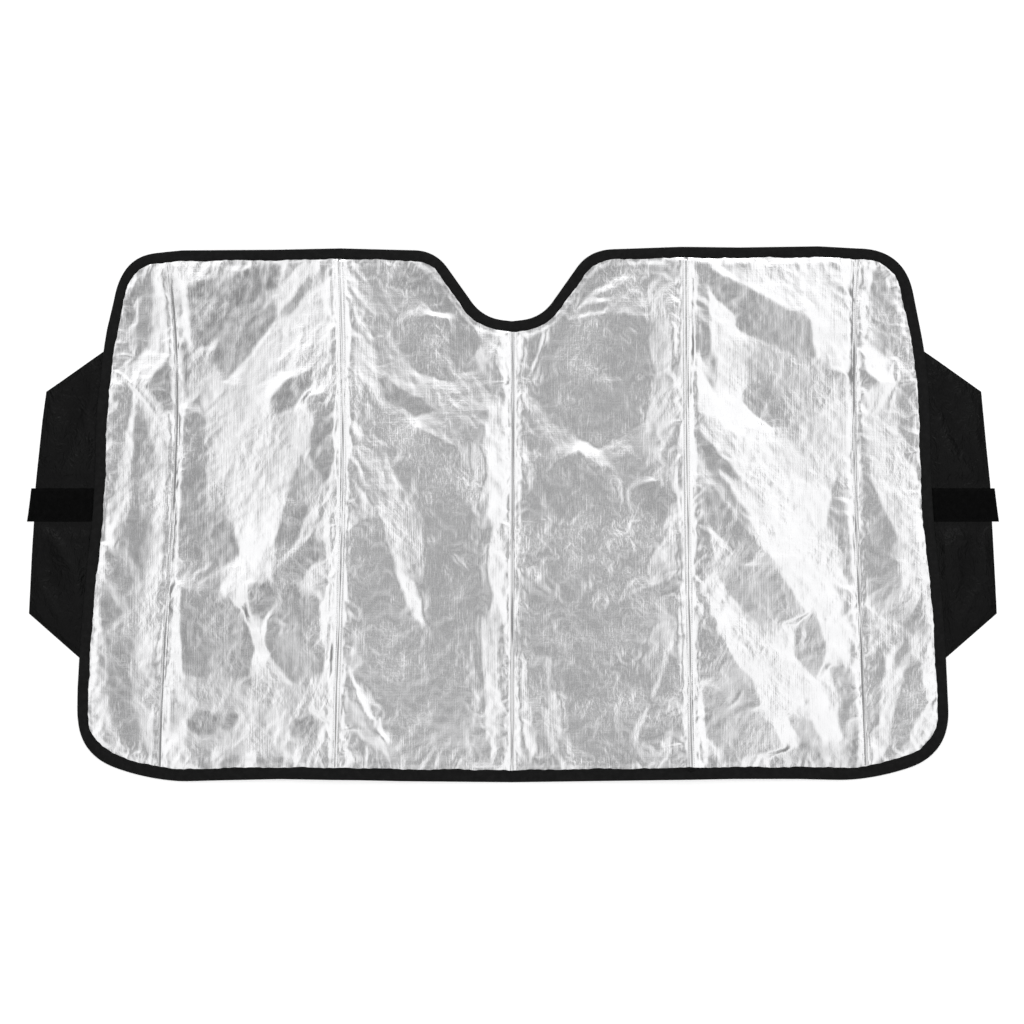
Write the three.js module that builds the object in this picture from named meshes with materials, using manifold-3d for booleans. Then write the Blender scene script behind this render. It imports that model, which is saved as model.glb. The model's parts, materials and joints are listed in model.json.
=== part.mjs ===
// Folding windscreen sunshade, lying face up as it was laid out to be photographed.
// A padded foil sheet is quilted by five double rows of stitching, which are also its fold lines, and is
// bound all round with a folded tape. A hemmed cloth wing is sewn under the binding at each side, and
// carries a length of hook or loop tape that closes the folded pack.
// Millimetres. X runs across the windscreen, Y towards its top edge, Z out of the foil face, and the
// origin is on the floor under the middle of the sheet.
import * as THREE from 'three';
import { mergeVertices } from 'three/addons/utils/BufferGeometryUtils.js';
import Module from 'manifold-3d';

const wasm = await Module();
wasm.setup();

// Bound sheet, and the mirror notch in its top edge.
const sheetWidth = 1310;
const sheetHeight = 800;
const notchDepth = 109;
const halfWidth = sheetWidth / 2;
const top = sheetHeight / 2;
const bottom = -sheetHeight / 2;

// Outline of the sheet, right half. Each corner is rounded, starting `round` before it.
const outline = {
  bottomMiddle: { x: 0, y: bottom, round: 0 },
  heel: { x: halfWidth - 118, y: bottom + 2, round: 56 },
  bottomCorner: { x: halfWidth, y: bottom + 44, round: 66 },
  hip: { x: halfWidth - 11, y: -143, round: 80 },
  waist: { x: halfWidth - 28, y: 15, round: 60 },
  shoulder: { x: halfWidth - 32, y: 202, round: 80 },
  topCorner: { x: halfWidth - 68, y: top, round: 68 },
  notchLip: { x: 116, y: top, round: 34 },
  notchFoot: { x: 44, y: top - notchDepth + 5, round: 30 },
  notchFloor: { x: 0, y: top - notchDepth, round: 0 },
};

// Fold lines, from the middle out: where each meets the bottom and top edges, how far it bows outwards
// half way up, and how high the sheet still stands there from being folded.
const flapWidth = 125; // outside the outer fold, at the bottom edge
const outerFold = halfWidth - flapWidth;
const innerFold = outerFold / 2;
const folds = [
  { bottom: 0, top: 0, bow: 0, lift: 0 },
  { bottom: innerFold + 3, top: innerFold - 6, bow: -6, lift: 10 },
  { bottom: outerFold, top: outerFold - 13, bow: -13, lift: 0 },
];
const sideLift = 1.0;
const foldStrip = 10; // half width of the flat strip that the two rows of stitching hold down

// Thicknesses of the padded sheet: in a fold line, at the bound edge and where it is full.
const foldThickness = 2.2;
const rimThickness = 1.6;
const padThickness = 5.2;
const padRun = 34; // how far the padding takes to reach its full height from a fold line or the binding

// Folded tape round the edge.
const bindingWidth = 16;
const bindingWall = 0.6;
const bindingCorner = 0.9;
const clearance = 0.3;

// Cloth wings: where the root lies along the sheet's side, and how far the outer corners reach out from
// that side at their own height.
const wing = {
  rootTop: 258,
  rootBottom: -225,
  topCorner: { reach: 79, y: 185 },
  elbow: { reach: 88.5, y: 45 },
  bottomCorner: { reach: 80.5, y: -148 },
};
const wingTuck = 13; // width sewn under the binding
const clothThickness = 0.5;
const hemThickness = 0.7;
const hemWidth = 9;
const hemStep = 1.5; // the hem's edge slopes down to the single cloth over this width
const ripple = { high: 1.6, across: 70, along: 114 }; // slack waves in the cloth

// Hook or loop tape across each wing. Its end reaches past the wing's edge as a pull.
const tape = { middle: 15, width: 50, topReach: 94.5, bottomReach: 97.5, web: 0.8, pile: 0.9, selvage: 3 };
const tapeStart = 1; // from the binding's edge
const tapeMargin = 9; // the cloth lies flat this far past the tape's edges

// Mesh divisions.
const foldCells = 8; // columns between the strips of two fold lines
const flapCells = 4;
const rows = 24;
const wingColumns = 5;
const wingRows = 15;
const rimSamples = 1800;

// Slack folds in the foil face, as they lie in the photograph: the panel between two fold lines, counted
// from the middle one, the ends as shares across and up that panel, half width and height. Their height
// falls off towards both ends, where this share of it is left.
const slackEnds = 0.15;
const slackFolds = [
  { panel: -2, from: [0.97, 0.9], to: [0.35, 0.64], wide: 34, high: 5.0 },
  { panel: -2, from: [0.86, 0.54], to: [0.39, 0.34], wide: 26, high: 4.6 },
  { panel: -2, from: [0.97, 0.34], to: [0.57, 0.12], wide: 28, high: 4.0 },
  { panel: -2, from: [0.16, 0.72], to: [0.21, 0.33], wide: 22, high: 2.6 },
  { panel: -1, from: [0.08, 0.81], to: [0.51, 0.26], wide: 34, high: 3.6 },
  { panel: -1, from: [0.77, 0.65], to: [0.89, 0.3], wide: 22, high: 3.8 },
  { panel: -1, from: [0.59, 0.19], to: [0.89, 0.07], wide: 26, high: 3.0 },
  { panel: 0, from: [0.17, 0.78], to: [0.49, 0.39], wide: 34, high: 2.8 },
  { panel: 0, from: [0.93, 0.57], to: [0.42, 0.36], wide: 28, high: 4.2 },
  { panel: 0, from: [0.83, 0.88], to: [0.82, 0.61], wide: 24, high: 3.8 },
  { panel: 0, from: [0.89, 0.31], to: [0.45, 0.06], wide: 30, high: 4.4 },
  { panel: 0, from: [0.34, 0.35], to: [0.51, 0.16], wide: 22, high: 2.8 },
  { panel: 1, from: [0.09, 0.7], to: [0.68, 0.42], wide: 36, high: 5.2 },
  { panel: 1, from: [0.25, 0.35], to: [0.89, 0.09], wide: 34, high: 5.4 },
  { panel: 1, from: [0.54, 0.91], to: [0.94, 0.75], wide: 26, high: 3.2 },
  { panel: 1, from: [0.61, 0.57], to: [0.93, 0.42], wide: 24, high: 3.6 },
  { panel: -3, from: [0.15, 0.74], to: [0.88, 0.81], wide: 16, high: 3.2 },
  { panel: -3, from: [0.34, 0.55], to: [0.82, 0.35], wide: 16, high: 3.0 },
  { panel: -3, from: [0.25, 0.3], to: [0.74, 0.12], wide: 18, high: 3.0 },
  { panel: 2, from: [0.46, 0.86], to: [0.73, 0.72], wide: 16, high: 3.2 },
  { panel: 2, from: [0.32, 0.57], to: [0.7, 0.42], wide: 16, high: 3.0 },
  { panel: 2, from: [0.39, 0.29], to: [0.68, 0.12], wide: 18, high: 3.2 },
];

const ease = (t) => {
  const c = Math.min(1, Math.max(0, t));
  return c * c * (3 - 2 * c);
};
const mix = (a, b, t) => a + (b - a) * t;

// Right half of the rim as a dense line, from the bottom middle round to the notch floor.
function rimLine() {
  const corners = Object.values(outline).map((c) => ({ at: new THREE.Vector2(c.x, c.y), round: c.round }));
  const path = new THREE.Path();
  path.moveTo(corners[0].at.x, corners[0].at.y);
  for (let k = 1; k < corners.length - 1; k += 1) {
    const { at, round } = corners[k];
    const before = corners[k - 1].at.clone().sub(at).setLength(round).add(at);
    const after = corners[k + 1].at.clone().sub(at).setLength(round).add(at);
    path.lineTo(before.x, before.y);
    path.quadraticCurveTo(at.x, at.y, after.x, after.y);
  }
  const end = corners[corners.length - 1].at;
  path.lineTo(end.x, end.y);
  return path.getSpacedPoints(rimSamples);
}
const rim = rimLine();

// The index on the rim line nearest to a point, or where a test first holds.
const nearestOnRim = (x, y) => {
  let best = 0;
  rim.forEach((p, k) => {
    if (Math.hypot(p.x - x, p.y - y) < Math.hypot(rim[best].x - x, rim[best].y - y)) best = k;
  });
  return best;
};
const cornerLow = nearestOnRim(outline.bottomCorner.x, outline.bottomCorner.y);
const cornerHigh = nearestOnRim(outline.topCorner.x, outline.topCorner.y);
const lowAtX = (x) => rim.findIndex((p) => p.x >= x);
const highAtX = (x) => cornerHigh + rim.slice(cornerHigh).findIndex((p) => p.x <= x + 1e-6);
const sideAtY = (y) => cornerLow + rim.slice(cornerLow).findIndex((p) => p.y >= y);
const beyondSide = ({ reach, y }) => new THREE.Vector2(rim[sideAtY(y)].x + reach, y);

// A point of the rim line moved inwards. It takes a position between samples too.
function rimPoint(position, inset) {
  const k = Math.min(rim.length - 2, Math.max(0, Math.floor(position)));
  const at = rim[k].clone().lerp(rim[k + 1], position - k);
  const before = rim[Math.max(0, k - 1)];
  const after = rim[Math.min(rim.length - 1, k + 2)];
  const along = after.clone().sub(before).normalize();
  if (k === 0 || k >= rim.length - 2) along.set(k === 0 ? 1 : -1, 0);
  return new THREE.Vector2(at.x - along.y * inset, at.y + along.x * inset);
}

// Columns of the right half: the share of its section that each stands at, and its lift.
const columns = [];
folds.forEach((fold, k) => {
  const next = folds[k + 1];
  const span = (next ? next.bottom : outline.bottomCorner.x) - fold.bottom;
  const cells = next ? foldCells : flapCells;
  const strip = foldStrip / span;
  const last = next ? 1 - strip : 1;
  const nextLift = next ? next.lift : sideLift;
  columns.push({ section: k, share: 0, lift: fold.lift });
  for (let c = 0; c <= cells; c += 1) {
    columns.push({ section: k, share: mix(strip, last, c / cells), lift: mix(fold.lift, nextLift, c / cells) });
  }
});
const half = columns.length - 1;

// Where a column meets the bottom and the top of the rim, as positions on the rim line.
function columnEnds({ section, share }) {
  const fold = folds[section];
  const next = folds[section + 1];
  if (next) {
    return [lowAtX(mix(fold.bottom, next.bottom, share)), highAtX(mix(fold.top, next.top, share))];
  }
  return [mix(lowAtX(fold.bottom), cornerLow, share), mix(highAtX(fold.top), cornerHigh, share)];
}
const ends = columns.map(columnEnds);

// The grid has a column on each side for every column of the half, and index 0 is the leftmost.
const across = 2 * half;
const side = (i) => (i < half ? -1 : 1);
const columnOf = (i) => Math.abs(i - half);

// A border station of the grid, moved inwards from the rim.
function stationAt(i, j, inset) {
  const c = columnOf(i);
  let position;
  if (j === 0) position = ends[c][0];
  else if (j === rows) position = ends[c][1];
  else position = mix(cornerLow, cornerHigh, j / rows);
  const p = rimPoint(position, inset);
  return new THREE.Vector2(p.x * side(i), p.y);
}

// Border stations in order, anticlockwise seen from the foil face.
const border = [];
for (let i = 0; i <= across; i += 1) border.push([i, 0]);
for (let j = 1; j <= rows; j += 1) border.push([across, j]);
for (let i = across - 1; i >= 0; i -= 1) border.push([i, rows]);
for (let j = rows - 1; j >= 1; j -= 1) border.push([0, j]);

// Points of one section of the right half, blended between its four edges.
function blend(low, high, left, right, s, t) {
  const flat = (a, b, share) => a.clone().lerp(b, share);
  const rise = flat(low(s), high(s), t);
  const run = flat(left(t), right(t), s);
  const corners = flat(flat(low(0), low(1), s), flat(high(0), high(1), s), t);
  return rise.add(run).sub(corners);
}

// Plan position of a grid point inside the binding.
const quiltInset = bindingWidth + 2 * clearance;
function foldLine(k, t, inset) {
  if (k === folds.length) return rimPoint(mix(cornerLow, cornerHigh, t), inset);
  const low = rimPoint(lowAtX(folds[k].bottom), inset);
  const high = rimPoint(highAtX(folds[k].top), inset);
  const p = low.lerp(high, t);
  p.x += folds[k].bow * 4 * t * (1 - t);
  return p;
}
function gridPoint(i, j) {
  const { section, share } = columns[columnOf(i)];
  const edge = (level) => (s) => {
    const end = columnEnds({ section, share: s })[level];
    return rimPoint(end, quiltInset);
  };
  const p = blend(
    edge(0),
    edge(1),
    (t) => foldLine(section, t, quiltInset),
    (t) => foldLine(section + 1, t, quiltInset),
    share,
    j / rows,
  );
  return new THREE.Vector2(p.x * side(i), p.y);
}

// Distances that shape the padding.
const toSegment = (p, from, to) => {
  const line = new THREE.Line3(new THREE.Vector3(...from, 0), new THREE.Vector3(...to, 0));
  const at = new THREE.Vector3(p.x, p.y, 0);
  const share = line.closestPointToPointParameter(at, true);
  return { off: line.at(share, new THREE.Vector3()).distanceTo(at), share };
};
const toRim = (p) => {
  const x = Math.abs(p.x);
  return rim.reduce((best, q) => Math.min(best, Math.hypot(q.x - x, q.y - p.y)), Infinity);
};
const toFold = (p) => {
  const t = (p.y - bottom) / (top - bottom);
  const off = folds.map((f) => Math.abs(Math.abs(p.x) - mix(f.bottom, f.top, t) - f.bow * 4 * t * (1 - t)));
  return Math.min(...off);
};

// A point at a share across and up a panel.
function inPanel(panel, [across, up]) {
  const edgeX = (k) => {
    const line = folds[Math.abs(k)] ?? { bottom: halfWidth, top: outline.topCorner.x };
    return Math.sign(k) * mix(line.bottom, line.top, up);
  };
  return [mix(edgeX(panel), edgeX(panel + 1), across), mix(bottom, top, up)];
}

const slack = (p) =>
  slackFolds.reduce((sum, fold) => {
    const { off, share } = toSegment(p, inPanel(fold.panel, fold.from), inPanel(fold.panel, fold.to));
    const taper = Math.sin(Math.PI * mix(slackEnds, 1 - slackEnds, share));
    return sum + fold.high * taper * Math.exp(-((off / fold.wide) ** 2));
  }, 0);

// Height of the foil face above the underside of the binding.
const rimTop = bindingWall + clearance + rimThickness;
function faceHeight(p) {
  const full = ease((toFold(p) - foldStrip) / padRun) * ease((toRim(p) - quiltInset) / padRun);
  const edge = mix(foldThickness, rimTop, ease(1 - (toRim(p) - quiltInset) / padRun));
  return mix(edge, padThickness + slack(p), full);
}

// A closed body from loose faces.
class Faces {
  constructor() {
    this.points = [];
  }
  triangle(a, b, c) {
    this.points.push(a, b, c);
  }
  quad(a, b, c, d) {
    this.triangle(a, b, c);
    this.triangle(a, c, d);
  }
  geometry() {
    const made = new THREE.BufferGeometry().setFromPoints(this.points);
    made.computeVertexNormals();
    return made;
  }
}
const lifted = (p, z) => new THREE.Vector3(p.x, p.y, z);

// Padded sheet: quilted face, bound rim and flat facets underneath.
function sheetGeometry() {
  const faces = new Faces();
  const lift = (i) => columns[columnOf(i)].lift;
  const plan = [];
  for (let i = 0; i <= across; i += 1) {
    plan.push([]);
    for (let j = 0; j <= rows; j += 1) plan[i].push(gridPoint(i, j));
  }
  const face = plan.map((line, i) => line.map((p) => lifted(p, lift(i) + faceHeight(p))));
  const under = plan.map((line, i) => line.map((p) => lifted(p, lift(i))));
  for (let i = 0; i < across; i += 1) {
    for (let j = 0; j < rows; j += 1) {
      faces.quad(face[i][j], face[i + 1][j], face[i + 1][j + 1], face[i][j + 1]);
    }
  }
  const rimLow = bindingWall + clearance;
  const rimInset = bindingWall + clearance;
  const ring = (inset, height) => border.map(([i, j]) => lifted(stationAt(i, j, inset), lift(i) + height));
  const rings = [
    border.map(([i, j]) => face[i][j]),
    ring(rimInset, rimTop),
    ring(rimInset, rimLow),
    ring(bindingWidth + clearance, rimLow),
    border.map(([i, j]) => under[i][j]),
  ];
  for (let r = 0; r + 1 < rings.length; r += 1) {
    border.forEach((_, k) => {
      const n = (k + 1) % border.length;
      faces.quad(rings[r][k], rings[r + 1][k], rings[r + 1][n], rings[r][n]);
    });
  }
  // The underside is flat in every fold strip and between them.
  const lines = [];
  for (let i = 0; i <= across; i += 1) {
    const { share, section } = columns[columnOf(i)];
    const stripEdge = [columns[columnOf(i) - 1], columns[columnOf(i) + 1]].some((c) => c && c.share === 0);
    const atEnd = i === 0 || i === across;
    if (atEnd || (share > 0 && (stripEdge || columns[columnOf(i) + 1].section !== section))) lines.push(i);
  }
  for (let k = 0; k + 1 < lines.length; k += 1) {
    const contour = [];
    for (let i = lines[k]; i <= lines[k + 1]; i += 1) contour.push(under[i][0]);
    for (let j = 1; j <= rows; j += 1) contour.push(under[lines[k + 1]][j]);
    for (let i = lines[k + 1] - 1; i >= lines[k]; i -= 1) contour.push(under[i][rows]);
    for (let j = rows - 1; j >= 1; j -= 1) contour.push(under[lines[k]][j]);
    const flat = contour.map((p) => new THREE.Vector2(p.x, p.y));
    THREE.ShapeUtils.triangulateShape(flat, []).forEach(([a, b, c]) => {
      faces.triangle(contour[a], contour[c], contour[b]);
    });
  }
  return faces.geometry();
}

// Edge tape: a folded section carried round the rim.
function bindingGeometry() {
  const thick = 2 * (bindingWall + clearance) + rimThickness;
  const section = [
    [bindingWidth, 0],
    [bindingWidth, bindingWall],
    [bindingWall, bindingWall],
    [bindingWall, thick - bindingWall],
    [bindingWidth, thick - bindingWall],
    [bindingWidth, thick],
    [bindingCorner, thick],
    [0, thick - bindingCorner],
    [0, bindingCorner],
    [bindingCorner, 0],
  ];
  const faces = new Faces();
  const loops = border.map(([i, j]) =>
    section.map(([inset, height]) => lifted(stationAt(i, j, inset), columns[columnOf(i)].lift + height)),
  );
  loops.forEach((loop, k) => {
    const next = loops[(k + 1) % loops.length];
    loop.forEach((_, s) => {
      const t = (s + 1) % loop.length;
      faces.quad(loop[s], loop[t], next[t], next[s]);
    });
  });
  return faces.geometry();
}

// Positions along an edge: a hem at each end that has one, then even steps.
function hemmedShares(length, cells, startHem, endHem) {
  const shares = [0];
  const low = startHem ? hemWidth + hemStep : 0;
  const high = length - (endHem ? hemWidth + hemStep : 0);
  if (startHem) shares.push(hemWidth / length);
  for (let c = startHem ? 0 : 1; c <= (endHem ? cells : cells - 1); c += 1) {
    shares.push(mix(low, high, c / cells) / length);
  }
  if (endHem) shares.push(1 - hemWidth / length);
  shares.push(1);
  return shares;
}

// Right wing: a thin cloth with a turned hem on its three free edges.
function wingGeometry() {
  const rootAt = (t) => rimPoint(mix(sideAtY(wing.rootBottom), sideAtY(wing.rootTop), t), wingTuck);
  const topCorner = beyondSide(wing.topCorner);
  const elbow = beyondSide(wing.elbow);
  const bottomCorner = beyondSide(wing.bottomCorner);
  const lower = bottomCorner.distanceTo(elbow);
  const outer = lower + elbow.distanceTo(topCorner);
  const outerAt = (t) => {
    const run = t * outer;
    if (run < lower) return bottomCorner.clone().lerp(elbow, run / lower);
    return elbow.clone().lerp(topCorner, (run - lower) / (outer - lower));
  };
  const columnShares = hemmedShares(rootAt(0).distanceTo(bottomCorner), wingColumns, false, true);
  const outerShares = hemmedShares(outer, wingRows, true, true);
  const rootShares = hemmedShares(rootAt(0).distanceTo(rootAt(1)), wingRows, true, true);
  const lastColumn = columnShares.length - 1;
  const lastRow = outerShares.length - 1;
  const flatReach = tape.width / 2 + tapeMargin;
  const under = (p) => {
    const calm = ease((Math.abs(p.y - tape.middle) - flatReach) / flatReach);
    const free = ease((p.x - rim[sideAtY(p.y)].x - clearance) / flatReach);
    const turn = 2 * Math.PI * (p.x / ripple.across + p.y / ripple.along);
    return ripple.high * calm * free * (0.5 + 0.5 * Math.sin(turn));
  };
  const low = [];
  const high = [];
  columnShares.forEach((s, i) => {
    low.push([]);
    high.push([]);
    outerShares.forEach((_, j) => {
      const p = rootAt(rootShares[j]).lerp(outerAt(outerShares[j]), s);
      const hemmed = i >= lastColumn - 1 || j <= 1 || j >= lastRow - 1;
      const z = under(p);
      low[i].push(lifted(p, z));
      high[i].push(lifted(p, z + (hemmed ? hemThickness : clothThickness)));
    });
  });
  const faces = new Faces();
  for (let i = 0; i < lastColumn; i += 1) {
    for (let j = 0; j < lastRow; j += 1) {
      faces.quad(high[i][j], high[i + 1][j], high[i + 1][j + 1], high[i][j + 1]);
      faces.quad(low[i][j], low[i][j + 1], low[i + 1][j + 1], low[i + 1][j]);
    }
  }
  const wall = (i, j, m, n) => faces.quad(low[i][j], low[m][n], high[m][n], high[i][j]);
  for (let i = 0; i < lastColumn; i += 1) {
    wall(i, 0, i + 1, 0);
    wall(i + 1, lastRow, i, lastRow);
  }
  for (let j = 0; j < lastRow; j += 1) {
    wall(lastColumn, j, lastColumn, j + 1);
    wall(0, j + 1, 0, j);
  }
  return faces.geometry();
}

// A closed three.js geometry as a solid, and back.
function solidFrom(geometry) {
  const bare = geometry.clone();
  bare.deleteAttribute('normal');
  bare.deleteAttribute('uv');
  const merged = mergeVertices(bare, 1e-4);
  return new wasm.Manifold(
    new wasm.Mesh({
      numProp: 3,
      vertProperties: merged.attributes.position.array,
      triVerts: new Uint32Array(merged.index.array),
    }),
  );
}
function geometryFrom(solid) {
  const mesh = solid.getMesh();
  const made = new THREE.BufferGeometry();
  made.setAttribute('position', new THREE.BufferAttribute(new Float32Array(mesh.vertProperties), 3));
  made.setIndex(new THREE.BufferAttribute(new Uint32Array(mesh.triVerts), 1));
  made.computeVertexNormals();
  return made;
}

// Right closure tape: a woven web whose pile stops short of its edges. It starts at the binding and
// its end stands past the edge of the wing as a pull.
function tapeGeometry() {
  const plate = (margin, thick, z) => {
    const low = tape.middle - tape.width / 2 + margin;
    const high = tape.middle + tape.width / 2 - margin;
    const shape = new THREE.Shape([
      beyondSide({ reach: tapeStart + margin, y: low }),
      beyondSide({ reach: tape.bottomReach - margin, y: low }),
      beyondSide({ reach: tape.topReach - margin, y: high }),
      beyondSide({ reach: tapeStart + margin, y: high }),
    ]);
    const made = new THREE.ExtrudeGeometry(shape, { depth: thick, bevelEnabled: false });
    made.translate(0, 0, z);
    return solidFrom(made);
  };
  const base = hemThickness + clearance;
  const web = plate(0, tape.web, base);
  const pile = plate(tape.selvage, tape.web / 2 + tape.pile, base + tape.web / 2);
  return geometryFrom(web.add(pile));
}

// The same geometry on the other side, with its faces turned to point outwards again.
function mirrored(geometry) {
  const made = geometry.index ? geometry.toNonIndexed() : geometry.clone();
  const at = made.getAttribute('position');
  for (let k = 0; k < at.count; k += 3) {
    const points = [0, 1, 2].map((n) => new THREE.Vector3().fromBufferAttribute(at, k + n));
    [0, 2, 1].forEach((from, n) => at.setXYZ(k + n, -points[from].x, points[from].y, points[from].z));
  }
  made.computeVertexNormals();
  return made;
}

const foil = new THREE.MeshStandardMaterial({ color: 0xc9cacc, roughness: 0.28, metalness: 1 });
const bindingTape = new THREE.MeshStandardMaterial({ color: 0x141414, roughness: 0.75, metalness: 0 });
const wingCloth = new THREE.MeshStandardMaterial({ color: 0x161617, roughness: 0.5, metalness: 0 });
const pileTape = new THREE.MeshStandardMaterial({ color: 0x0a0a0a, roughness: 0.95, metalness: 0 });

const group = new THREE.Group();
function add(name, geometry, material) {
  const mesh = new THREE.Mesh(geometry, material);
  mesh.name = name;
  group.add(mesh);
}
const rightWing = wingGeometry();
const rightTape = tapeGeometry();
add('foil_panel', sheetGeometry(), foil);
add('edge_binding', bindingGeometry(), bindingTape);
add('right_wing', rightWing, wingCloth);
add('left_wing', mirrored(rightWing), wingCloth);
add('right_loop_tape', rightTape, pileTape);
add('left_hook_tape', mirrored(rightTape), pileTape);

export default group;
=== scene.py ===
# Windscreen sunshade laid flat, foil side up, seen from straight above.
import json
import math
import bpy
import numpy as np
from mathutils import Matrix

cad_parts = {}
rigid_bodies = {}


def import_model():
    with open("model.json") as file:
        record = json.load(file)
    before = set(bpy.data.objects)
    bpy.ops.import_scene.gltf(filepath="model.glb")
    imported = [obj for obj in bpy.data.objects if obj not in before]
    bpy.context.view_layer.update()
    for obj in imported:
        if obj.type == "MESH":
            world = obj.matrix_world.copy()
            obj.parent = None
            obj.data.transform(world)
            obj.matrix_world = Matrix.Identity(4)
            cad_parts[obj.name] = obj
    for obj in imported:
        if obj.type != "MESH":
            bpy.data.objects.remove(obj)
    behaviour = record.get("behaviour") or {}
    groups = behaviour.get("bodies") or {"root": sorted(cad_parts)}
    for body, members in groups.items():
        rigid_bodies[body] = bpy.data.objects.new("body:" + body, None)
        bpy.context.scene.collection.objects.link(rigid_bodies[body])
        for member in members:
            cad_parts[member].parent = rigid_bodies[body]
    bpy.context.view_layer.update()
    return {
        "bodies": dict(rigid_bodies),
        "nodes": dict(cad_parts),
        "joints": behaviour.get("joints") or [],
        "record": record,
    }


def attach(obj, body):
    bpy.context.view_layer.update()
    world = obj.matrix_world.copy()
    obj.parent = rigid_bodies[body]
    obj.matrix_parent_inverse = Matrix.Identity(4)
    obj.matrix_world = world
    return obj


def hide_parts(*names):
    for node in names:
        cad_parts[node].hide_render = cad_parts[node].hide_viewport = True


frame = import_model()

scene = bpy.context.scene
mm = 0.001
print("frame loaded with", len(frame["nodes"]), "pieces")


# numbers that several pieces use, in millimetres as in the frame
shade = {
    "top": 400,
    "bottom": -400,
    "halfWidth": 655,
    "notchDepth": 109,
    "sideLift": 1.0,
    "clearance": 0.3,
    "tapeWall": 0.6,
    "rimThickness": 1.6,
    "bindingWidth": 16,
}
rimTop = shade["tapeWall"] + shade["clearance"] + shade["rimThickness"]

# right half of the outline: x, y and where the rounding of the corner starts
outline = [
    (0, shade["bottom"], 0),
    (shade["halfWidth"] - 118, shade["bottom"] + 2, 56),
    (shade["halfWidth"], shade["bottom"] + 44, 66),
    (shade["halfWidth"] - 11, -143, 80),
    (shade["halfWidth"] - 28, 15, 60),
    (shade["halfWidth"] - 32, 202, 80),
    (shade["halfWidth"] - 68, shade["top"], 68),
    (116, shade["top"], 34),
    (44, shade["top"] - shade["notchDepth"] + 5, 30),
    (0, shade["top"] - shade["notchDepth"], 0),
]

# The five sewn fold lines, left to right: x at the bottom and top edge, how far they bow to the right and
# at which height, half the flat strip round the stitching, how high the fold stands, the roof or valley of
# the strip, the depth and half width of the crease along its middle, and how dark its painted shade is.
seams = [
    {"bottom": -530, "top": -517, "bow": 18, "bowAt": 0.68, "strip": 2.5, "lift": 0, "roof": -0.1,
     "crease": 1.5, "slit": 1.25, "shade": 0.85},
    {"bottom": -266, "top": -258, "bow": 8, "bowAt": 0.6, "strip": 8.5, "lift": 10, "roof": 2.4,
     "crease": 0.4, "slit": 0.8, "shade": 0.6},
    {"bottom": 0, "top": 0, "bow": 1.5, "bowAt": 0.7, "strip": 5, "lift": 0, "roof": -0.1,
     "crease": 1.5, "slit": 1.8, "shade": 0.85},
    {"bottom": 270, "top": 260, "bow": -2, "bowAt": 0.5, "strip": 8.5, "lift": 10, "roof": 2.4,
     "crease": 0.5, "slit": 0.9, "shade": 0.65},
    {"bottom": 532, "top": 518, "bow": -9, "bowAt": 0.6, "strip": 2.5, "lift": 0, "roof": -0.1,
     "crease": 1.4, "slit": 1.2, "shade": 0.8},
]


def ease(t):
    t = np.clip(t, 0, 1)
    return t * t * (3 - 2 * t)


def blend(a, b, t):
    return a + (b - a) * t


# outline of the sheet
def rimLine(samples=2400):
    corners = [np.array(c[:2], float) for c in outline]
    points = [corners[0]]
    for k in range(1, len(corners) - 1):
        here = corners[k]
        run = outline[k][2]
        before = here + (corners[k - 1] - here) / np.linalg.norm(corners[k - 1] - here) * run
        after = here + (corners[k + 1] - here) / np.linalg.norm(corners[k + 1] - here) * run
        for t in np.linspace(0, 1, 24):
            points.append((1 - t) ** 2 * before + 2 * t * (1 - t) * here + t * t * after)
    points.append(corners[-1])
    points = np.array(points)
    run = np.r_[0, np.cumsum(np.linalg.norm(np.diff(points, axis=0), axis=1))]
    even = np.linspace(0, run[-1], samples)
    return np.c_[np.interp(even, run, points[:, 0]), np.interp(even, run, points[:, 1])]


rim = rimLine()
rimCount = len(rim)
rimStep = np.linalg.norm(rim[1] - rim[0])
along = np.gradient(rim, axis=0)
along /= np.linalg.norm(along, axis=1)[:, None]
along[0] = (1, 0)
along[-1] = (-1, 0)
inward = np.c_[-along[:, 1], along[:, 0]]


def nearestOnRim(x, y):
    return int(np.argmin(np.hypot(rim[:, 0] - x, rim[:, 1] - y)))


cornerLow = nearestOnRim(*outline[2][:2])
cornerHigh = nearestOnRim(*outline[6][:2])


def rimPoint(place, inset):
    # place counts rim samples and may lie between two of them
    place = np.asarray(place, float)
    spots = np.arange(rimCount)
    x = np.interp(place, spots, rim[:, 0]) + inset * np.interp(place, spots, inward[:, 0])
    y = np.interp(place, spots, rim[:, 1]) + inset * np.interp(place, spots, inward[:, 1])
    return np.stack([x, y], -1)


def lowPlace(x):
    part = rim[:cornerLow + 1]
    return np.interp(x, part[:, 0], np.arange(len(part)))


def highPlace(x):
    part = rim[cornerHigh:][::-1]
    return np.interp(x, part[:, 0], np.arange(rimCount - 1, cornerHigh - 1, -1))


def sideX(y):
    part = rim[cornerLow:cornerHigh + 1]
    return np.interp(y, part[:, 1], part[:, 0])


def seamX(seam, t):
    power = math.log(0.5) / math.log(seam["bowAt"])
    t = np.clip(t, 0, 1)
    return blend(seam["bottom"], seam["top"], t) + seam["bow"] * np.sin(math.pi * t ** power)


def upShare(y):
    return (y - shade["bottom"]) / (shade["top"] - shade["bottom"])


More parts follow.
